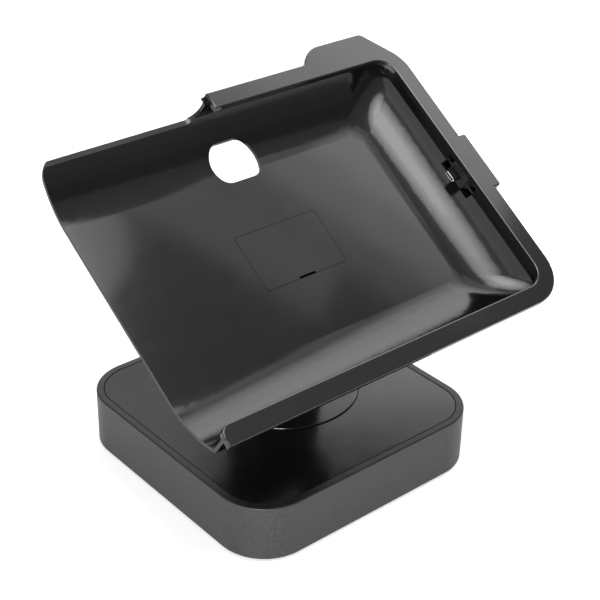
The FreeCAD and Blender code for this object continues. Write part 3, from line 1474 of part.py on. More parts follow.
def make_carriage():
    nose_face = tray_right - s.nose_inset
    nose = box("nose", (nose_face, slider_left + OVER),
               (s.hub_up - s.nose_half_height, s.hub_up + s.nose_half_height),
               (-s.nose_bottom, -s.nose_top))
    rounded = round_edges("nose_rounded", nose, s.lead_radius / 2, lambda edge: is_straight_along(edge, "x"))
    slider = box("slider", (slider_left, slider_right),
                 (s.hub_up - s.slider_half_height, s.hub_up + s.slider_half_height),
                 (-s.slider_bottom, -s.nose_top - 1.0))
    bore = cylinder("slider_bore", s.rod_radius + s.rod_clearance, "y", (rod_x, -s.rod_down),
                    (s.hub_up - s.slider_half_height - OVER, s.hub_up + s.slider_half_height + OVER))
    root_half_wide = s.plug_width / 2 + s.plug_root_border
    root_half_thick = s.plug_thickness / 2 + s.plug_root_border
    root_x = (nose_face - s.plug_root, nose_face + OVER)
    plug_root = box("plug_root", root_x, (s.hub_up - root_half_wide, s.hub_up + root_half_wide),
                    (-s.plug_down - root_half_thick, -s.plug_down + root_half_thick))
    rounded_root = round_edges("plug_root_rounded", plug_root, root_half_thick * 0.9,
                               lambda edge: is_straight_along(edge, "x"))
    carriage = fuse("carriage_blank", [rounded, slider, rounded_root])
    in_cradle("plug_carriage", cut("plug_carriage", carriage, [bore]))

    def plug_block(name, half_wide, half_thick, x):
        blank = box(name + "_blank", x, (s.hub_up - half_wide, s.hub_up + half_wide),
                    (-s.plug_down - half_thick, -s.plug_down + half_thick))
        return round_edges(name, blank, half_thick * 0.95, lambda edge: is_straight_along(edge, "x"))

    plug_tip = nose_face - s.plug_root - s.plug_length
    plug_back = nose_face - s.plug_root
    sleeve = plug_block("plug_sleeve", s.plug_width / 2, s.plug_thickness / 2, (plug_tip, plug_back))
    mouth = plug_block("plug_mouth", s.plug_width / 2 - s.plug_skin, s.plug_thickness / 2 - s.plug_skin,
                       (plug_tip - OVER, plug_back - s.plug_skin))
    in_cradle("usb_c_plug", cut("usb_c_plug", sleeve, [mouth]))
    upper = (-s.plug_down + s.plug_thickness / 2 - s.plug_skin - s.tongue_thickness / 2,
             -s.plug_down + s.plug_thickness / 2 - s.plug_skin)
    lower = (-s.plug_down - s.plug_thickness / 2 + s.plug_skin,
             -s.plug_down - s.plug_thickness / 2 + s.plug_skin + s.tongue_thickness / 2)
    half = s.tongue_width / 2 - s.plug_skin
    rows = [box("contact_row%d" % i, (plug_tip + s.contact_setback, plug_back - s.plug_skin),
                (s.hub_up - half, s.hub_up + half), z) for i, z in enumerate((upper, lower))]
    in_cradle("plug_contacts", group("plug_contacts", rows))
    board = box("plug_board_blank", (slider_left, slider_right),
                (s.hub_up - s.slider_half_height, s.hub_up + s.slider_half_height),
                (-s.slider_bottom - s.plug_board_thickness, -s.slider_bottom))
    in_cradle("plug_board", group("plug_board", [board]))


def make_lead_cover():
    low = s.hub_up + s.hub_above - s.lead_cover_half_height * 2
    high = s.hub_up + s.hub_above
    w = s.hub_wall
    back = floor_back - s.lead_cover_depth
    x = (s.lead_cover_start, s.pod_left - s.cover_gap)
    blank = box("lead_cover_blank", x, (low, high), (back, floor_back - s.pod_face_gap))
    room = box("lead_room", (x[0] - OVER, x[1] + OVER), (low + w, high - w), (back + w, floor_back + OVER))
    shell = cut("lead_cover_shell", blank, [room])
    ear_x = ((x[0] * 3 + x[1]) / 4, (x[0] + x[1] * 3) / 4)
    ear_y = low - s.small_screw_head_radius * 1.5
    ears = []
    holes = []
    screws = []
    for i, centre in enumerate(ear_x):
        ears.append(cylinder("cover_ear%d" % i, s.small_screw_head_radius * 1.8, "z", (centre, ear_y),
                             (floor_back - w, floor_back - s.pod_face_gap)))
        ears.append(box("cover_ear_root%d" % i, (centre - s.small_screw_head_radius * 1.8,
                                                 centre + s.small_screw_head_radius * 1.8),
                        (ear_y, low + w), (floor_back - w, floor_back - s.pod_face_gap)))
        holes.append(cylinder("cover_ear_hole%d" % i, s.small_screw_radius, "z", (centre, ear_y),
                              (floor_back - w - OVER, floor_back + OVER)))
        screws.append(screw("rear_screw%d" % i, s.small_screw_head_radius, s.small_screw_head_height,
                            s.small_screw_radius, w - s.pod_face_gap, "z", (centre, ear_y),
                            floor_back - w, -1))
    in_cradle("lead_cover", cut("lead_cover", fuse("lead_cover_fused", [shell] + ears), holes))
    in_cradle("rear_cover_screws", group("rear_cover_screws", screws))


def make_leads():
    """The lead from the board to the plug, in three stretches that meet on the two turning axes."""
    r = s.lead_radius.number
    bend = s.lead_bend.number
    low_z = s.board_low + s.board_thickness + header_half
    rise = s.lead_joint_height.number - low_z.number
    node("base_lead", lead("base_lead", [
        (axis_x, header_y, low_z),
        (axis_x, axis_y, low_z),
        (axis_x, axis_y, s.lead_joint_height),
    ], r, [rise]))
    neck_lead = lead("neck_lead_run", [
        (0, -s.neck_setback, s.lead_joint_height),
        (0, -s.neck_setback, s.web_low + s.lead_rise_start),
        (-s.lead_bend, 0, s.web_high - s.lead_rise_end),
        (-s.lead_bend, 0, s.hinge_height),
        (0, 0, s.hinge_height),
    ], r, [bend * 4, bend * 4, bend])
    in_neck("neck_lead", group("neck_lead", [neck_lead]))
    lead_back = floor_back - s.lead_radius - s.hook_gap
    out = s.hub_up + s.lead_up
    board_z = -s.slider_bottom - s.plug_board_thickness
    drop_x = slider_left - s.lead_drop_gap
    carriage_lead = lead("cradle_lead_run", [
        (0, s.hub_up, hinge_down),
        (s.lead_side, s.hub_up, hinge_down),
        (s.lead_side, out, lead_back),
        (s.pod_left + s.lead_turn_in, out, lead_back),
        (drop_x, out, board_z),
        (drop_x, s.hub_up + s.lead_end_up, board_z),
        (slider_left - s.pod_face_gap, s.hub_up + s.lead_end_up, board_z),
    ], r, [bend, bend, bend * 2, s.lead_tight_bend.number, s.lead_end_bend.number])
    in_cradle("cradle_lead", group("cradle_lead", [carriage_lead]))


header_half = s.lead_radius + s.header_wall
header_y = axis_y + s.header_setback


def port_spans(across, width, height, grow):
    """The x and z spans of a socket that sits on the board."""
    return ((across - width / 2 - grow, across + width / 2 + grow),
            (board_high - grow, board_high + height + grow))


# The sockets stand in a row with equal gaps. The two flat ones are a pair with a pitch of their own.
usb_a_pair = s.usb_a_width + s.usb_a_pitch
sockets_together = (s.power_jack_width + s.usb_c_width + s.ethernet_width + s.hdmi_width
                    + usb_a_pair + s.audio_width)
socket_gap = (plate_half_width * 2 - sockets_together) / 7
power_jack_across = socket_gap + s.power_jack_width / 2 - plate_half_width
usb_c_across = power_jack_across + (s.power_jack_width + s.usb_c_width) / 2 + socket_gap
ethernet_across = usb_c_across + (s.usb_c_width + s.ethernet_width) / 2 + socket_gap
hdmi_across = ethernet_across + (s.ethernet_width + s.hdmi_width) / 2 + socket_gap
usb_a_across = hdmi_across + (s.hdmi_width + s.usb_a_width) / 2 + socket_gap
usb_a_second = usb_a_across + s.usb_a_pitch
audio_across = usb_a_second + (s.usb_a_width + s.audio_width) / 2 + socket_gap
PORTS = (
    ("power_jack", power_jack_across, s.power_jack_width, s.power_jack_height),
    ("usb_c_port", usb_c_across, s.usb_c_width, s.usb_c_height),
    ("ethernet_port", ethernet_across, s.ethernet_width, s.ethernet_height),
    ("hdmi_port", hdmi_across, s.hdmi_width, s.hdmi_height),
    ("usb_a_port_left", usb_a_across, s.usb_a_width, s.usb_a_height),
    ("usb_a_port_right", usb_a_second, s.usb_a_width, s.usb_a_height),
    ("audio_jack", audio_across, s.audio_width, s.audio_height),
)


def port_body(name, depth_rear):
    """A socket's block, from inside the board's rear edge to its mouth."""
    label, across, width, height = next(port for port in PORTS if port[0] == name)
    x, z = port_spans(across, width, height, 0)
    return box(label + "_block", x, (depth_rear - s.port_depth, depth_rear), z)


def mouth(name, across, half_wide, middle, half_tall, depth):
    """A socket's opening."""
    return box(name, (across - half_wide, across + half_wide), (plate_rear - depth, plate_rear + OVER),
               (middle - half_tall, middle + half_tall))


def make_ports():
    depth = s.port_depth - s.shell_skin * 3
    centre_z = board_high + s.power_jack_height * 0.56
    jack = port_body("power_jack", plate_rear)
    ring = tube("power_ring", s.power_jack_bore, s.power_jack_pin, "y", (power_jack_across, centre_z),
                (plate_rear - depth, plate_rear + OVER))
    node("power_jack", cut("power_jack", jack, [ring]))

    def tongue_port(name, across, width, height, tongue_share):
        middle = board_high + height / 2
        hollow = mouth(name + "_mouth", across, width / 2 - s.shell_skin, middle,
                       height / 2 - s.shell_skin, depth)
        shell = cut(name + "_shell", port_body(name, plate_rear), [hollow])
        wide = (width / 2 - s.shell_skin) * 0.8
        tall = height * tongue_share / 2
        shift = middle + height * (0.12 if tongue_share > 0.3 else 0.0)
        blade = box(name + "_blade", (across - wide, across + wide),
                    (plate_rear - depth - OVER, plate_rear - 1.0),
                    (shift - tall, shift + tall))
        return fuse(name + "_solid", [shell, blade])

    node("usb_c_port", tongue_port("usb_c_port", usb_c_across, s.usb_c_width, s.usb_c_height, 0.2))
    node("hdmi_port", tongue_port("hdmi_port", hdmi_across, s.hdmi_width, s.hdmi_height, 0.3))
    usb_a = [tongue_port(name, across, s.usb_a_width, s.usb_a_height, 0.32)
             for name, across in (("usb_a_port_left", usb_a_across),
                                  ("usb_a_port_right", usb_a_second))]
    node("usb_a_ports", group("usb_a_ports", usb_a))
    ethernet_middle = board_high + s.ethernet_height / 2
    socket = mouth("ethernet_mouth", ethernet_across, s.ethernet_mouth_width / 2, ethernet_middle,
                   s.ethernet_mouth_height / 2, depth)
    latch = mouth("ethernet_latch", ethernet_across, s.ethernet_mouth_width / 4,
                  ethernet_middle - s.ethernet_mouth_height / 2, 1.2, depth)
    node("ethernet_port", cut("ethernet_port", port_body("ethernet_port", plate_rear), [socket, latch]))
    audio_z = board_high + s.audio_height / 2
    bore = cylinder("audio_bore_cut", s.audio_bore, "y", (audio_across, audio_z),
                    (plate_rear - depth, plate_rear + OVER))
    node("audio_jack", cut("audio_jack", port_body("audio_jack", plate_rear), [bore]))
    plate = port_window("port_plate", 0, (flange_rear - s.port_flange_thickness, plate_rear))
    flange = port_window("port_plate_flange", s.port_flange,
                         (flange_rear - s.port_flange_thickness, flange_rear))
    tools = []
    for name, across, width, height in PORTS:
        x, z = port_spans(across, width, height, s.port_gap)
        tools.append(box(name + "_window", x,
                         (flange_rear - s.port_flange_thickness - OVER, plate_rear + OVER), z))
    node("port_panel", cut("port_panel", fuse("port_panel_blank", [plate, flange]), tools))


def make_board():
    blank = box("board_blank", (-board_half_width, board_half_width), (s.board_front, board_rear),
                (s.board_low, board_high))
    holes = [cylinder("board_hole%d" % i, s.board_screw_radius, "z", place_xy,
                      (s.board_low - OVER, board_high + OVER)) for i, place_xy in enumerate(post_places)]
    node("main_board", cut("main_board", blank, holes))
    screws = []
    for i, place_xy in enumerate(post_places):
        screws.append(screw("board_screw%d" % i, s.board_screw_head_radius, s.board_screw_head_height,
                            s.board_screw_radius, s.board_screw_length, "z", place_xy, board_high, 1))
    node("board_screws", group("board_screws", screws))
    board_depth = board_rear - s.board_front
    thin, tall = s.chip_thickness, s.coil_height
    chips = (
        ("hub_chip", -0.2, 0.46, 1.0, 1.0, thin),
        ("video_chip", 0.23, 0.49, 0.72, 0.72, thin),
        ("power_chip", -0.66, 0.52, 0.57, 0.43, thin),
        ("network_coil", -0.3, 0.68, 1.14, 0.6, tall),
        ("power_coil", -0.62, 0.31, 0.72, 0.72, tall * 0.7),
    )
    pieces = []
    for name, across, along_, wide, deep, height in chips:
        x, y = board_half_width * across, s.board_front + board_depth * along_
        half_wide, half_deep = s.chip_width * wide / 2, s.chip_width * deep / 2
        pieces.append(box(name, (x - half_wide, x + half_wide), (y - half_deep, y + half_deep),
                          (board_high, board_high + height)))
    for i, across in enumerate((-0.86, 0.56, 0.72)):
        centre = (board_half_width * across, s.board_front + board_depth * 0.37)
        pieces.append(cylinder("capacitor%d" % i, s.capacitor_radius, "z", centre,
                               (board_high, board_high + s.capacitor_height)))
    pieces.append(box("lead_header", (axis_x - header_half * 1.6, axis_x + header_half * 1.6),
                      (header_y, header_y + s.header_depth),
                      (board_high, board_high + header_half * 2)))
    node("board_components", group("board_components", pieces))


def make_lock_plate():
    x = (half_width - s.base_wall - s.lock_plate_thickness, half_width - s.base_wall)
    plate = box("lock_plate_blank", x,
                (s.lock_back - s.lock_plate_half_width, s.lock_back + s.lock_plate_half_width),
                (s.lock_height - s.lock_plate_half_height, s.lock_height + s.lock_plate_half_height))
    slot = lock_slot("lock_plate_slot", as_size(0), (x[0] - OVER, x[1] + OVER))
    node("lock_slot_plate", cut("lock_slot_plate", plate, [slot]))


make_base_housing()
make_top_panel()
make_bottom_cover()
make_pad_and_cover_screws()
make_ballast()
make_deck()
make_bearing()
make_turntable()
make_neck_frame()
make_neck_shells()
make_hinge_pins()
make_tray()
make_bezel()
make_bracket()
make_access_cover()
make_hub_housing()
make_connector_housing()
make_carriage()
make_lead_cover()
make_board()
make_ports()
make_lock_plate()
make_leads()

doc.recompute()
failed = [item.Name for item in doc.Objects if "Invalid" in item.State or "Error" in item.State]
if failed:
    raise SystemExit("objects that failed: %s" % ", ".join(failed))
for piece in PARTS:
    if piece.Shape.isNull() or not piece.Shape.isValid() or not piece.Shape.Solids:
        raise SystemExit("sub-part without a sound solid: %s" % piece.Label)

os.makedirs("parts", exist_ok=True)
for piece in PARTS:
    piece.Shape.exportStep(os.path.join("parts", piece.Label + ".step"))
print("wrote %d sub-parts" % len(PARTS))
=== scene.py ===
import json
import math

import bmesh
import bpy
from mathutils import Matrix, Vector


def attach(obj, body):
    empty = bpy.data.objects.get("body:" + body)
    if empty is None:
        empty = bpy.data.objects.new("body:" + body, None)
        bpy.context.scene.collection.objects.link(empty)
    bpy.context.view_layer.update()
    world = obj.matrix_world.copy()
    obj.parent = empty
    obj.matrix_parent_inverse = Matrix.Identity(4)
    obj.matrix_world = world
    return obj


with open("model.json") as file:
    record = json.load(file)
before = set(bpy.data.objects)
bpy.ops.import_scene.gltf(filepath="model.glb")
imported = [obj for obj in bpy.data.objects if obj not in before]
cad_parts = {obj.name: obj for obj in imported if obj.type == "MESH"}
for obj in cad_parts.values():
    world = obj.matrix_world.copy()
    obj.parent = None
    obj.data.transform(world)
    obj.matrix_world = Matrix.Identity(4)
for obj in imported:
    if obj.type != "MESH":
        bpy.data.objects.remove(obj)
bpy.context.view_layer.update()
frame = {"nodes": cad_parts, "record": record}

scene = bpy.context.scene
scene.view_settings.view_transform = "Standard"
NODES = frame["nodes"]


# Camera

def add_camera():
    """The camera that took the photo: its place and lens come from the straight edges in it."""
    azimuth, elevation, roll = math.radians(-39.89), math.radians(29.96), math.radians(0.74)
    distance, focal_pixels, picture = 0.85165, 1423.58, 600
    centre_x, centre_y = 281.88, 298.11
    target = Vector((0.0015, 0, 0.10581))
    back = Vector((math.sin(azimuth) * math.cos(elevation),
                   -math.cos(azimuth) * math.cos(elevation),
                   math.sin(elevation)))
    level = Vector((math.cos(azimuth), math.sin(azimuth), 0))
    upright = back.cross(level)
    right = math.cos(roll) * level + math.sin(roll) * upright
    up = math.cos(roll) * upright - math.sin(roll) * level
    data = bpy.data.cameras.new("camera")
    data.sensor_width = 36
    data.lens = focal_pixels / picture * data.sensor_width
    data.shift_x = (picture / 2 - centre_x) / picture
    data.shift_y = (centre_y - picture / 2) / picture
    data.clip_start, data.clip_end = 0.01, 50
    camera = bpy.data.objects.new("camera", data)
    scene.collection.objects.link(camera)
    turn = Matrix((right, up, back)).transposed().to_4x4()
    camera.matrix_world = Matrix.Translation(target + back * distance) @ turn
    scene.camera = camera


add_camera()


# Materials

class Shader:
    """A material whose nodes are made and joined by name."""

    def __init__(self, name, colour, roughness, metallic=0.0, specular=0.5):
        self.material = bpy.data.materials.new(name)
        self.material.use_nodes = True
        self.material.diffuse_color = (*colour, 1)
        self.nodes = self.material.node_tree.nodes
        self.links = self.material.node_tree.links
        self.surface = self.nodes["Principled BSDF"]
        self.surface.inputs["Base Color"].default_value = (*colour, 1)
        self.surface.inputs["Roughness"].default_value = roughness
        self.surface.inputs["Metallic"].default_value = metallic
        self.surface.inputs["Specular IOR Level"].default_value = specular
        self.normal = None

    def add(self, kind, **settings):
        """A new node of that kind, with its settings."""
        node = self.nodes.new(kind)
        for name, value in settings.items():
            setattr(node, name, value)
        return node

    def place(self, scale=(1, 1, 1)):
        """The point on the piece, in metres, stretched by scale."""
        where = self.add("ShaderNodeTexCoord")
        stretch = self.add("ShaderNodeMapping")
        stretch.inputs["Scale"].default_value = scale
        self.links.new(where.outputs["Object"], stretch.inputs["Vector"])
        return stretch.outputs["Vector"]

    def noise(self, size, detail=2.0, rough=0.5, scale=(1, 1, 1)):
        """Noise whose lumps are about size metres across."""
        node = self.add("ShaderNodeTexNoise")
        node.inputs["Scale"].default_value = 1 / size
        node.inputs["Detail"].default_value = detail
        node.inputs["Roughness"].default_value = rough
        self.links.new(self.place(scale), node.inputs["Vector"])
        return node.outputs["Fac"]

    def spread(self, value, low, high, start=0.0, end=1.0):
        """A value between start and end, mapped to low and high."""
        node = self.add("ShaderNodeMapRange")
        node.inputs["From Min"].default_value = start
        node.inputs["From Max"].default_value = end
        node.inputs["To Min"].default_value = low
        node.inputs["To Max"].default_value = high
        self.links.new(value, node.inputs["Value"])
        return node.outputs["Result"]

    def tint(self, value, dark, light, start=0.3, end=0.7):
        """The colour runs from dark to light with a value."""
        ramp = self.add("ShaderNodeValToRGB")
        ramp.color_ramp.elements[0].position = start
        ramp.color_ramp.elements[0].color = (*dark, 1)
        ramp.color_ramp.elements[1].position = end
        ramp.color_ramp.elements[1].color = (*light, 1)
        self.links.new(value, ramp.inputs["Fac"])
        self.links.new(ramp.outputs["Color"], self.surface.inputs["Base Color"])
        return ramp.outputs["Color"]

    def rough(self, value, low, high, start=0.3, end=0.7):
        """The roughness runs from low to high with a value."""
        self.links.new(self.spread(value, low, high, start, end), self.surface.inputs["Roughness"])

    def bump(self, value, height, strength=1.0):
        """Relief of that height in metres, on top of what was there."""
        node = self.add("ShaderNodeBump")
        node.inputs["Distance"].default_value = height
        node.inputs["Strength"].default_value = strength
        self.links.new(value, node.inputs["Height"])
        if self.normal:
            self.links.new(self.normal, node.inputs["Normal"])
        self.normal = node.outputs["Normal"]
        self.links.new(self.normal, self.surface.inputs["Normal"])


def grey(level):
    return (level, level, level)


def make_textured_grey(name, rim_height=None):
    """Moulded shell with a fine spark-eroded grain, left smooth and dark above the rim height."""
    shader = Shader(name, grey(0.034), 0.4, specular=0.36)
    grain = shader.noise(0.0011, detail=4.0, rough=0.75)
    cloud = shader.noise(0.03, detail=3.0)
    colour = shader.tint(grain, grey(0.019), grey(0.05), 0.3, 0.7)
    shader.bump(grain, 0.00006, 0.8)
    if rim_height is None:
        shader.rough(cloud, 0.37, 0.43)
        return shader.material
    axes = shader.add("ShaderNodeSeparateXYZ")
    shader.links.new(shader.place(), axes.inputs["Vector"])
    over_rim = shader.spread(axes.outputs["Z"], 0, 1, rim_height, rim_height + 0.0003)
    blend = shader.add("ShaderNodeMix", data_type="RGBA")
    shader.links.new(over_rim, blend.inputs["Factor"])
    shader.links.new(colour, blend.inputs[6])
    blend.inputs[7].default_value = (*grey(0.012), 1)
    shader.links.new(blend.outputs[2], shader.surface.inputs["Base Color"])
    shader.rough(over_rim, 0.4, 0.3, 0, 1)
    return shader.material


def make_bezel_black():
    """The bezel: near-black plastic with a shallow grain that breaks up its reflections."""
    shader = Shader("bezel_black", grey(0.008), 0.1, specular=0.52)
    grain = shader.noise(0.0004, detail=2.0, rough=0.5)
    cloud = shader.noise(0.03, detail=3.0)
    shader.tint(grain, grey(0.006), grey(0.011), 0.25, 0.75)
    shader.rough(cloud, 0.08, 0.12)
    shader.bump(grain, 0.000012, 0.35)
    return shader.material


def make_gloss_black(name, roughness, level, specular):
    """Polished black plastic, with the slow waves of a moulding and a little haze."""
    shader = Shader(name, grey(level), roughness, specular=specular)
    wave = shader.noise(0.045, detail=1.0)
    haze = shader.noise(0.012, detail=4.0, rough=0.6)
    shader.tint(haze, grey(level * 0.85), grey(level * 1.15))
    shader.rough(haze, roughness * 0.88, roughness * 1.14)
    shader.bump(wave, 0.00025, 0.35)
    return shader.material


def make_satin_black():
    shader = Shader("satin_black", grey(0.018), 0.4, specular=0.45)
    grain = shader.noise(0.0004, detail=3.0, rough=0.55)
    cloud = shader.noise(0.03, detail=2.0)
    shader.tint(grain, grey(0.014), grey(0.023), 0.25, 0.75)
    shader.rough(cloud, 0.36, 0.46)
    shader.bump(grain, 0.00003, 0.6)
    return shader.material


def make_rubber():
    shader = Shader("rubber", grey(0.02), 0.82, specular=0.3)
    grain = shader.noise(0.0006, detail=4.0, rough=0.7)
    dust = shader.noise(0.015, detail=4.0, rough=0.65)
    shader.tint(dust, grey(0.016), grey(0.034), 0.35, 0.8)
    shader.rough(grain, 0.74, 0.9)
    shader.bump(grain, 0.00006, 0.7)
    return shader.material


def make_steel(name, colour, roughness, grain_scale):
    """Steel with a drawn or rolled grain, and slow changes in its shine."""
    shader = Shader(name, colour, roughness, metallic=1.0)
    grain = shader.noise(0.0006, detail=3.0, rough=0.6, scale=grain_scale)
    cloud = shader.noise(0.008, detail=4.0, rough=0.6)
    dark = tuple(c * 0.86 for c in colour)
    light = tuple(min(c * 1.08, 1.0) for c in colour)
    shader.tint(cloud, dark, light)
    shader.rough(grain, roughness * 0.8, roughness * 1.25)
    shader.bump(grain, 0.000012, 0.4)
    return shader.material


def make_steel_with_painted_depth_shade(name, axis, bright, dark, level):
    """Steel whose colour is bright at the mouth of a plug or socket and painted dark deeper in, along an
    axis: painted shade for the inside of the hollow.
    """
    shader = Shader(name, grey(0.04), 0.4, metallic=1.0)
    axes = shader.add("ShaderNodeSeparateXYZ")
    shader.links.new(shader.place(), axes.inputs["Vector"])
    wear_and_shade_noise = shader.noise(0.0006, detail=3.0)
    edge = shader.add("ShaderNodeMath", operation="MULTIPLY_ADD")
    edge.inputs[1].default_value = 0.0002
    shader.links.new(wear_and_shade_noise, edge.inputs[0])
    shader.links.new(axes.outputs[axis], edge.inputs[2])
    # Painted shade: the colour darkens from the bright steel at the mouth to near black deeper in, and
    # the noise makes the edge of that shade ragged.
    depth = shader.spread(edge.outputs["Value"], 0, 1, bright, dark)
    shader.tint(depth, grey(level), grey(0.04), 0, 1)
    shader.rough(wear_and_shade_noise, 0.3, 0.42)
    shader.bump(wear_and_shade_noise, 0.00001, 0.4)
    return shader.material


def make_brass():
    shader = Shader("contact_brass", (0.83, 0.62, 0.27), 0.25, metallic=1.0)
    wear = shader.noise(0.001, detail=3.0)
    shader.tint(wear, (0.74, 0.54, 0.22), (0.88, 0.68, 0.33))
    shader.rough(wear, 0.18, 0.34)
    return shader.material


def make_nylon():
    shader = Shader("nylon", (0.62, 0.6, 0.54), 0.5)
    cloud = shader.noise(0.006, detail=3.0)
    shader.tint(cloud, (0.56, 0.54, 0.48), (0.66, 0.64, 0.58))
    shader.rough(cloud, 0.42, 0.58)
    shader.bump(shader.noise(0.0005), 0.00002, 0.4)
    return shader.material


def make_board():
    """Green circuit board: solder mask over fine tracks."""
    shader = Shader("circuit_board", (0.02, 0.12, 0.05), 0.35)
    tracks = shader.add("ShaderNodeTexBrick")
    tracks.offset = 0.37
    tracks.inputs["Scale"].default_value = 260
    tracks.inputs["Mortar Size"].default_value = 0.09
    tracks.inputs["Color1"].default_value = (0.013, 0.085, 0.036, 1)
    tracks.inputs["Color2"].default_value = (0.016, 0.1, 0.042, 1)
    tracks.inputs["Mortar"].default_value = (0.035, 0.19, 0.08, 1)
    shader.links.new(shader.place(), tracks.inputs["Vector"])
    shader.links.new(tracks.outputs["Color"], shader.surface.inputs["Base Color"])
    shader.rough(shader.noise(0.004), 0.28, 0.42)
    shader.bump(tracks.outputs["Fac"], 0.00003, 0.5)
    return shader.material


def make_components():
    shader = Shader("component_black", grey(0.02), 0.55)
    cloud = shader.noise(0.001, detail=3.0)
    shader.tint(cloud, grey(0.016), grey(0.03))
    shader.rough(cloud, 0.48, 0.64)
    shader.bump(cloud, 0.00002, 0.5)
    return shader.material


def make_lead():
    shader = Shader("lead_black", grey(0.015), 0.5, specular=0.4)
    grain = shader.noise(0.0008, detail=3.0)
    shader.tint(grain, grey(0.012), grey(0.02))
    shader.rough(grain, 0.44, 0.58)
    shader.bump(grain, 0.00003, 0.4)
    return shader.material


# The height of the base's rim, and where the painted shade inside the sockets and the plug starts and
# where it is full, in metres.
RIM_HEIGHT = 0.0368
SOCKET_SHADE_START, SOCKET_SHADE_FULL = 0.0889, 0.0879
PLUG_SHADE_START, PLUG_SHADE_FULL = 0.1269, 0.1273

MATERIALS = {
    "textured_grey": make_textured_grey("textured_grey"),
    "rimmed_grey": make_textured_grey("rimmed_grey", RIM_HEIGHT),
    "bezel_black": make_bezel_black(),
    "gloss_black": make_gloss_black("gloss_black", 0.17, 0.003, 0.55),
    "tray_black": make_gloss_black("tray_black", 0.09, 0.004, 0.5),
    "satin_black": make_satin_black(),
    "rubber": make_rubber(),
    "screw_steel": make_steel("screw_steel", (0.42, 0.42, 0.44), 0.28, (1, 1, 1)),
    "zinc_steel": make_steel("zinc_steel", (0.58, 0.59, 0.62), 0.36, (1, 8, 1)),
    # These two steels have painted shade: their colour darkens deeper inside the sockets and the plug.
    "socket_steel": make_steel_with_painted_depth_shade("socket_steel", "Y", SOCKET_SHADE_START, SOCKET_SHADE_FULL, 0.56),
    "plug_steel": make_steel_with_painted_depth_shade("plug_steel", "X", PLUG_SHADE_START, PLUG_SHADE_FULL, 0.6),
    "polished_steel": make_steel("polished_steel", (0.8, 0.8, 0.82), 0.16, (1, 1, 1)),
    "dark_steel": make_steel("dark_steel", (0.07, 0.07, 0.075), 0.35, (1, 6, 1)),
    "polished_edge": make_gloss_black("polished_edge", 0.14, 0.01, 0.8),
    "contact_brass": make_brass(),
    "nylon": make_nylon(),
    "circuit_board": make_board(),
    "component_black": make_components(),
    "lead_black": make_lead(),
}


# Nodes whose look differs from that of their slot.
OWN_MATERIALS = {
    "cradle_tray": "tray_black",
    "access_cover": "tray_black",
    "base_housing": "rimmed_grey",
    "carriage_rod": "dark_steel",
}


def dress_nodes():
    """Each node from the frame gets the material of its slot, or one of its own."""
    slots = {row["node"]: row["material_slot"] for row in frame["record"]["subparts"]}
    for name, piece in NODES.items():
        material = OWN_MATERIALS.get(name, slots[name])
        piece.data.materials.clear()
        piece.data.materials.append(MATERIALS[material])


dress_nodes()


# Pieces on top of the frame's own

# The cradle's own frame starts at the lower edge of its face. Its place is in metres.
CRADLE_PLACE = (0.008, -0.099898, 0.105753)
SLOPE = math.radians(33.7)
CRADLE = Matrix.Translation(CRADLE_PLACE) @ Matrix.Rotation(SLOPE, 4, "X")

# The plug in the cradle's own millimetres: across to its mouth, up the face, and out of it.
PLUG_MOUTH, PLUG_UP, PLUG_OUT = 118.65, 100, -8.55
PLUG_HALF_LENGTH = 2.975
LIP_RADIUS, LIP_THICKNESS, LIP_TURNS = 1.05, 0.16, 10
LINER_INNER, LINER_OUTER = 0.72, 0.88


def in_cradle(x, y, z):
    """A point given in millimetres across, up and out of the cradle's face."""
    return CRADLE @ Vector((x / 1000, y / 1000, z / 1000))


def add_piece(name, points, faces, material, body, smooth=True):
    """A piece that rides on a body, in the material of the given name."""
    mesh = bpy.data.meshes.new(name)
    mesh.from_pydata([tuple(point) for point in points], [], faces)
    mesh.validate()
    shape = bmesh.new()
    shape.from_mesh(mesh)
    bmesh.ops.recalc_face_normals(shape, faces=shape.faces)
    shape.to_mesh(mesh)
    shape.free()
    mesh.materials.append(MATERIALS[material])
    if smooth:
        mesh.shade_smooth()
    piece = bpy.data.objects.new(name, mesh)
    scene.collection.objects.link(piece)
    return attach(piece, body)


def add_sweep(name, rings, material, body, smooth=True):
    """A closed section carried along a path. Each ring is the section's points at one place."""
    size = len(rings[0])
    points = [point for ring in rings for point in ring]
    faces = []
    for i in range(len(rings) - 1):
        for j in range(size):
            k = (j + 1) % size
            faces.append((i * size + j, i * size + k, (i + 1) * size + k, (i + 1) * size + j))
    faces.append(tuple(range(size)))
    faces.append(tuple(range(len(points) - 1, len(points) - size - 1, -1)))
    return add_piece(name, points, faces, material, body, smooth)


def arc(centre, radius, start, end, inward, steps=12):
    """Points on an arc, each with the way into the bezel's plastic."""
    path = []
    for i in range(steps + 1):
        angle = math.radians(start + (end - start) * i / steps)
        way = (math.cos(angle), math.sin(angle))
        place = (centre[0] + radius * way[0], centre[1] + radius * way[1])
        path.append((place, (-way[0], -way[1]) if inward else way))
    return path


def add_bezel_edge():
    """The polished line along the inner edge of the bezel, from the top bar's end to the lip's."""
    bar_start, top, right, bottom, left = -11.2, 188.7, 126.05, 11.7, -122.9
    high, low, lip = 11.8, 13.2, 6.1
    path = [((bar_start, 199.0), (1, 0)), ((bar_start, top), (1, 1)), ((bar_start + 3, top), (0, 1))]
    path += arc((right - high, top - high), high, 90, 0, False)
    path += arc((right - low, bottom + low), low, 0, -90, False)
    path += arc((left + lip, bottom - lip), lip, 90, 180, True)
    path.append(((left, 1.0), (1, 0)))
    section = ((0.95, -0.5), (0.95, 0.07), (0.7, 0.045), (0.45, -0.03),
               (0.2, -0.14), (0.08, -0.24), (0.08, -0.5))
    rings = []
    for place, way in path:
        rings.append([in_cradle(place[0] + way[0] * a, place[1] + way[1] * a, z) for a, z in section])
    add_sweep("bezel_edge", rings, "polished_edge", "cradle")


add_bezel_edge()


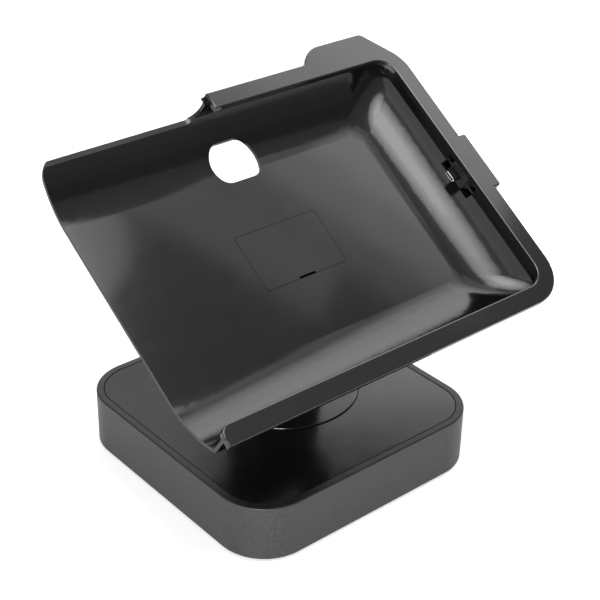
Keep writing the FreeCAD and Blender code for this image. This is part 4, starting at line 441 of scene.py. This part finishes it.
def stadium(radius, steps=8):
    """Points round the plug's outline, from its middle: up the cradle and out of its face."""
    points = []
    for side, start in ((1, -90), (-1, 90)):
        for i in range(steps + 1):
            angle = math.radians(start + 180 * i / steps)
            points.append((side * PLUG_HALF_LENGTH + math.cos(angle) * radius, math.sin(angle) * radius))
    return points


def add_plug_lip():
    """The rolled lip round the mouth of the plug's shell."""
    loop = stadium(LIP_RADIUS)
    points = []
    for up, out in loop:
        middle = math.copysign(PLUG_HALF_LENGTH, up) if abs(up) > PLUG_HALF_LENGTH else up
        way = Vector((up - middle, out)).normalized()
        for i in range(LIP_TURNS):
            angle = 2 * math.pi * i / LIP_TURNS
            along = PLUG_MOUTH + 0.04 + LIP_THICKNESS * math.sin(angle)
            reach = LIP_THICKNESS * math.cos(angle)
            points.append(in_cradle(along, PLUG_UP + up + way.x * reach, PLUG_OUT + out + way.y * reach))
    faces = []
    for i in range(len(loop)):
        this, following = i * LIP_TURNS, (i + 1) % len(loop) * LIP_TURNS
        for j in range(LIP_TURNS):
            k = (j + 1) % LIP_TURNS
            faces.append((this + j, this + k, following + k, following + j))
    add_piece("plug_lip", points, faces, "polished_steel", "carriage")


def add_plug_liner():
    """The moulded insulator that lines the plug's steel shell."""
    mouth, root = PLUG_MOUTH + 0.3, PLUG_MOUTH + 5.5
    profile = ((root - 0.3, LINER_INNER), (mouth, LINER_INNER),
               (mouth, LINER_OUTER), (root, LINER_OUTER))
    rings = []
    for along, radius in profile:
        rings.append([in_cradle(along, PLUG_UP + up, PLUG_OUT + out) for up, out in stadium(radius)])
    add_sweep("plug_liner", rings, "component_black", "carriage", False)


add_plug_lip()
add_plug_liner()


# Floor, background and lamps

def add_background():
    """A pale room: white all round at eye level, and darker overhead, where the softboxes hang."""
    world = bpy.data.worlds.new("studio")
    world.use_nodes = True
    scene.world = world
    tree = world.node_tree
    where = tree.nodes.new("ShaderNodeTexCoord")
    parts = tree.nodes.new("ShaderNodeSeparateXYZ")
    ramp = tree.nodes.new("ShaderNodeValToRGB")
    ramp.color_ramp.interpolation = "EASE"
    ramp.color_ramp.elements[0].position = 0.05
    ramp.color_ramp.elements[0].color = (1, 1, 1, 1)
    ramp.color_ramp.elements[1].position = 0.14
    ramp.color_ramp.elements[1].color = (0.32, 0.32, 0.325, 1)
    steps = ((0.4, 0.24), (0.53, 0.15), (0.62, 0.15), (0.69, 0.4), (0.82, 0.5), (0.92, 0.85))
    for height, level in steps:
        high = ramp.color_ramp.elements.new(height)
        high.color = (level, level, level, 1)
    tree.links.new(where.outputs["Generated"], parts.inputs["Vector"])
    tree.links.new(parts.outputs["Z"], ramp.inputs["Fac"])
    tree.links.new(ramp.outputs["Color"], tree.nodes["Background"].inputs["Color"])
    tree.nodes["Background"].inputs["Strength"].default_value = 1


def make_paper():
    """White paper, lifted to white where the camera sees it, so that only shadows show.

    Reflections see it lifted too, less so close to the object.
    """
    shader = Shader("paper", grey(0.8), 0.9, specular=0.1)
    shader.tint(shader.noise(0.4), grey(0.79), grey(0.81))
    path = shader.add("ShaderNodeLightPath")
    where = shader.add("ShaderNodeNewGeometry")
    reach = shader.add("ShaderNodeVectorMath", operation="LENGTH")
    shader.links.new(where.outputs["Position"], reach.inputs[0])
    direct = shader.add("ShaderNodeMath", operation="MULTIPLY")
    shader.links.new(path.outputs["Is Camera Ray"], direct.inputs[0])
    shader.links.new(shader.spread(reach.outputs["Value"], 0.5, 1.0, 0.5, 2.5), direct.inputs[1])
    mirrored = shader.add("ShaderNodeMath", operation="MAXIMUM")
    shader.links.new(path.outputs["Is Glossy Ray"], mirrored.inputs[0])
    shader.links.new(path.outputs["Is Transmission Ray"], mirrored.inputs[1])
    lift = shader.add("ShaderNodeMath", operation="MULTIPLY_ADD")
    shader.links.new(mirrored.outputs["Value"], lift.inputs[0])
    shader.links.new(shader.spread(reach.outputs["Value"], 0.12, 1.0, 0.4, 2.5), lift.inputs[1])
    shader.links.new(direct.outputs["Value"], lift.inputs[2])
    shader.surface.inputs["Emission Color"].default_value = (1, 1, 1, 1)
    shader.links.new(lift.outputs["Value"], shader.surface.inputs["Emission Strength"])
    return shader.material


def add_sheet(name, half_width, half_depth, place):
    """A flat sheet of the white paper."""
    mesh = bpy.data.meshes.new(name)
    shape = bmesh.new()
    bmesh.ops.create_grid(shape, x_segments=2, y_segments=2, size=1)
    bmesh.ops.scale(shape, vec=(half_width, half_depth, 1), verts=shape.verts)
    shape.to_mesh(mesh)
    shape.free()
    sheet = bpy.data.objects.new(name, mesh)
    sheet.matrix_world = place
    scene.collection.objects.link(sheet)
    mesh.materials.append(paper)


paper = make_paper()


def add_floor_and_backdrop():
    """The floor under the object, and a sheet that stands behind it."""
    add_sheet("floor", 6, 6, Matrix.Translation((0, 0, -0.0002)))
    away = math.radians(140)
    distance, half_height = 2.6, 0.76
    stand = Matrix.Translation((math.sin(away) * distance, -math.cos(away) * distance, half_height))
    turn = Matrix.Rotation(away, 4, "Z") @ Matrix.Rotation(math.radians(90), 4, "X")
    add_sheet("backdrop", 2.2, half_height, stand @ turn)


# The height of the hanging lamps, in metres, and the step between those that overlap.
LAMP_HEIGHT, LAMP_STEP = 1.62, 0.02


def add_lamp(name, shape, centre, size, turn, brightness, height=LAMP_HEIGHT):
    """A flat softbox that hangs at a height and faces down. Its brightness of 1 looks white."""
    data = bpy.data.lights.new(name, "AREA")
    data.shape = shape
    data.size, data.size_y = size
    area = size[0] * size[1] * (math.pi / 4 if shape == "ELLIPSE" else 1)
    data.energy = brightness * area * math.pi
    lamp = bpy.data.objects.new(name, data)
    lamp.location = (*centre, height)
    lamp.rotation_euler = (0, 0, math.radians(turn))
    scene.collection.objects.link(lamp)


def add_side_lamp(name, azimuth, elevation, distance, width, depth, brightness):
    """A softbox that faces the object. Azimuth 0 is in front of it and 90 to its right."""
    a, e = math.radians(azimuth), math.radians(elevation)
    away = Vector((math.sin(a) * math.cos(e), -math.cos(a) * math.cos(e), math.sin(e)))
    data = bpy.data.lights.new(name, "AREA")
    data.shape = "RECTANGLE"
    data.size, data.size_y = width, depth
    data.energy = brightness * width * depth * math.pi
    lamp = bpy.data.objects.new(name, data)
    lamp.location = Vector((0, 0, 0.12)) + away * distance
    lamp.rotation_mode = "QUATERNION"
    lamp.rotation_quaternion = away.to_track_quat("Z", "Y")
    scene.collection.objects.link(lamp)


def add_soft_lamps():
    """Each softbox is brightest in its middle, so it is made of lamps within each other."""
    discs = ((1.0, 2.5), (0.84, 1.5), (0.66, 1.5), (0.44, 1.9))
    for i, (diameter, brightness) in enumerate(discs):
        add_lamp("top_softbox_%d" % i, "ELLIPSE", (0.15, -0.33), (diameter, diameter), 0, brightness,
                 LAMP_HEIGHT + LAMP_STEP * i)
    turn = -42.7
    away = Vector((-math.sin(math.radians(turn)), math.cos(math.radians(turn))))
    near_edge = Vector((0.93, -0.06))
    across = Vector((away.y, -away.x))
    panels = ((-0.19, -0.08, -0.2, 0.4, 0.8, 0), (-0.08, 1.2, -1.1, 0.75, 0.6, 0),
              (0.0, 1.17, -1.1, 0.75, 0.9, 1), (0.1, 1.05, -1.0, 0.75, 0.9, 2),
              (0.25, 0.9, -0.9, 0.75, 0.6, 3),
              (1.69, 2.4, -1.0, 0.4, 2.2, 0), (1.25, 1.9, -1.6, -1.02, 1.0, 0))
    for i, (start, end, left, right, brightness, steps) in enumerate(panels):
        centre = near_edge + away * (start + end) / 2 + across * (left + right) / 2
        add_lamp("back_softbox_%d" % i, "RECTANGLE", centre, (right - left, end - start), turn,
                 brightness, LAMP_HEIGHT + LAMP_STEP * steps)
    add_lamp("left_ceiling_softbox", "RECTANGLE", (-1.1, -0.25), (1.2, 1.7), 0, 0.75)
    add_lamp("small_softbox", "ELLIPSE", (0.655, -0.195), (0.24, 0.24), 0, 1.9, 1.7)


add_background()
add_floor_and_backdrop()
add_soft_lamps()
add_side_lamp("left_softbox", -95, 22, 1.6, 0.9, 0.9, 0.8)
add_side_lamp("front_softbox", -48, 4, 1.7, 0.6, 0.6, 34.0)
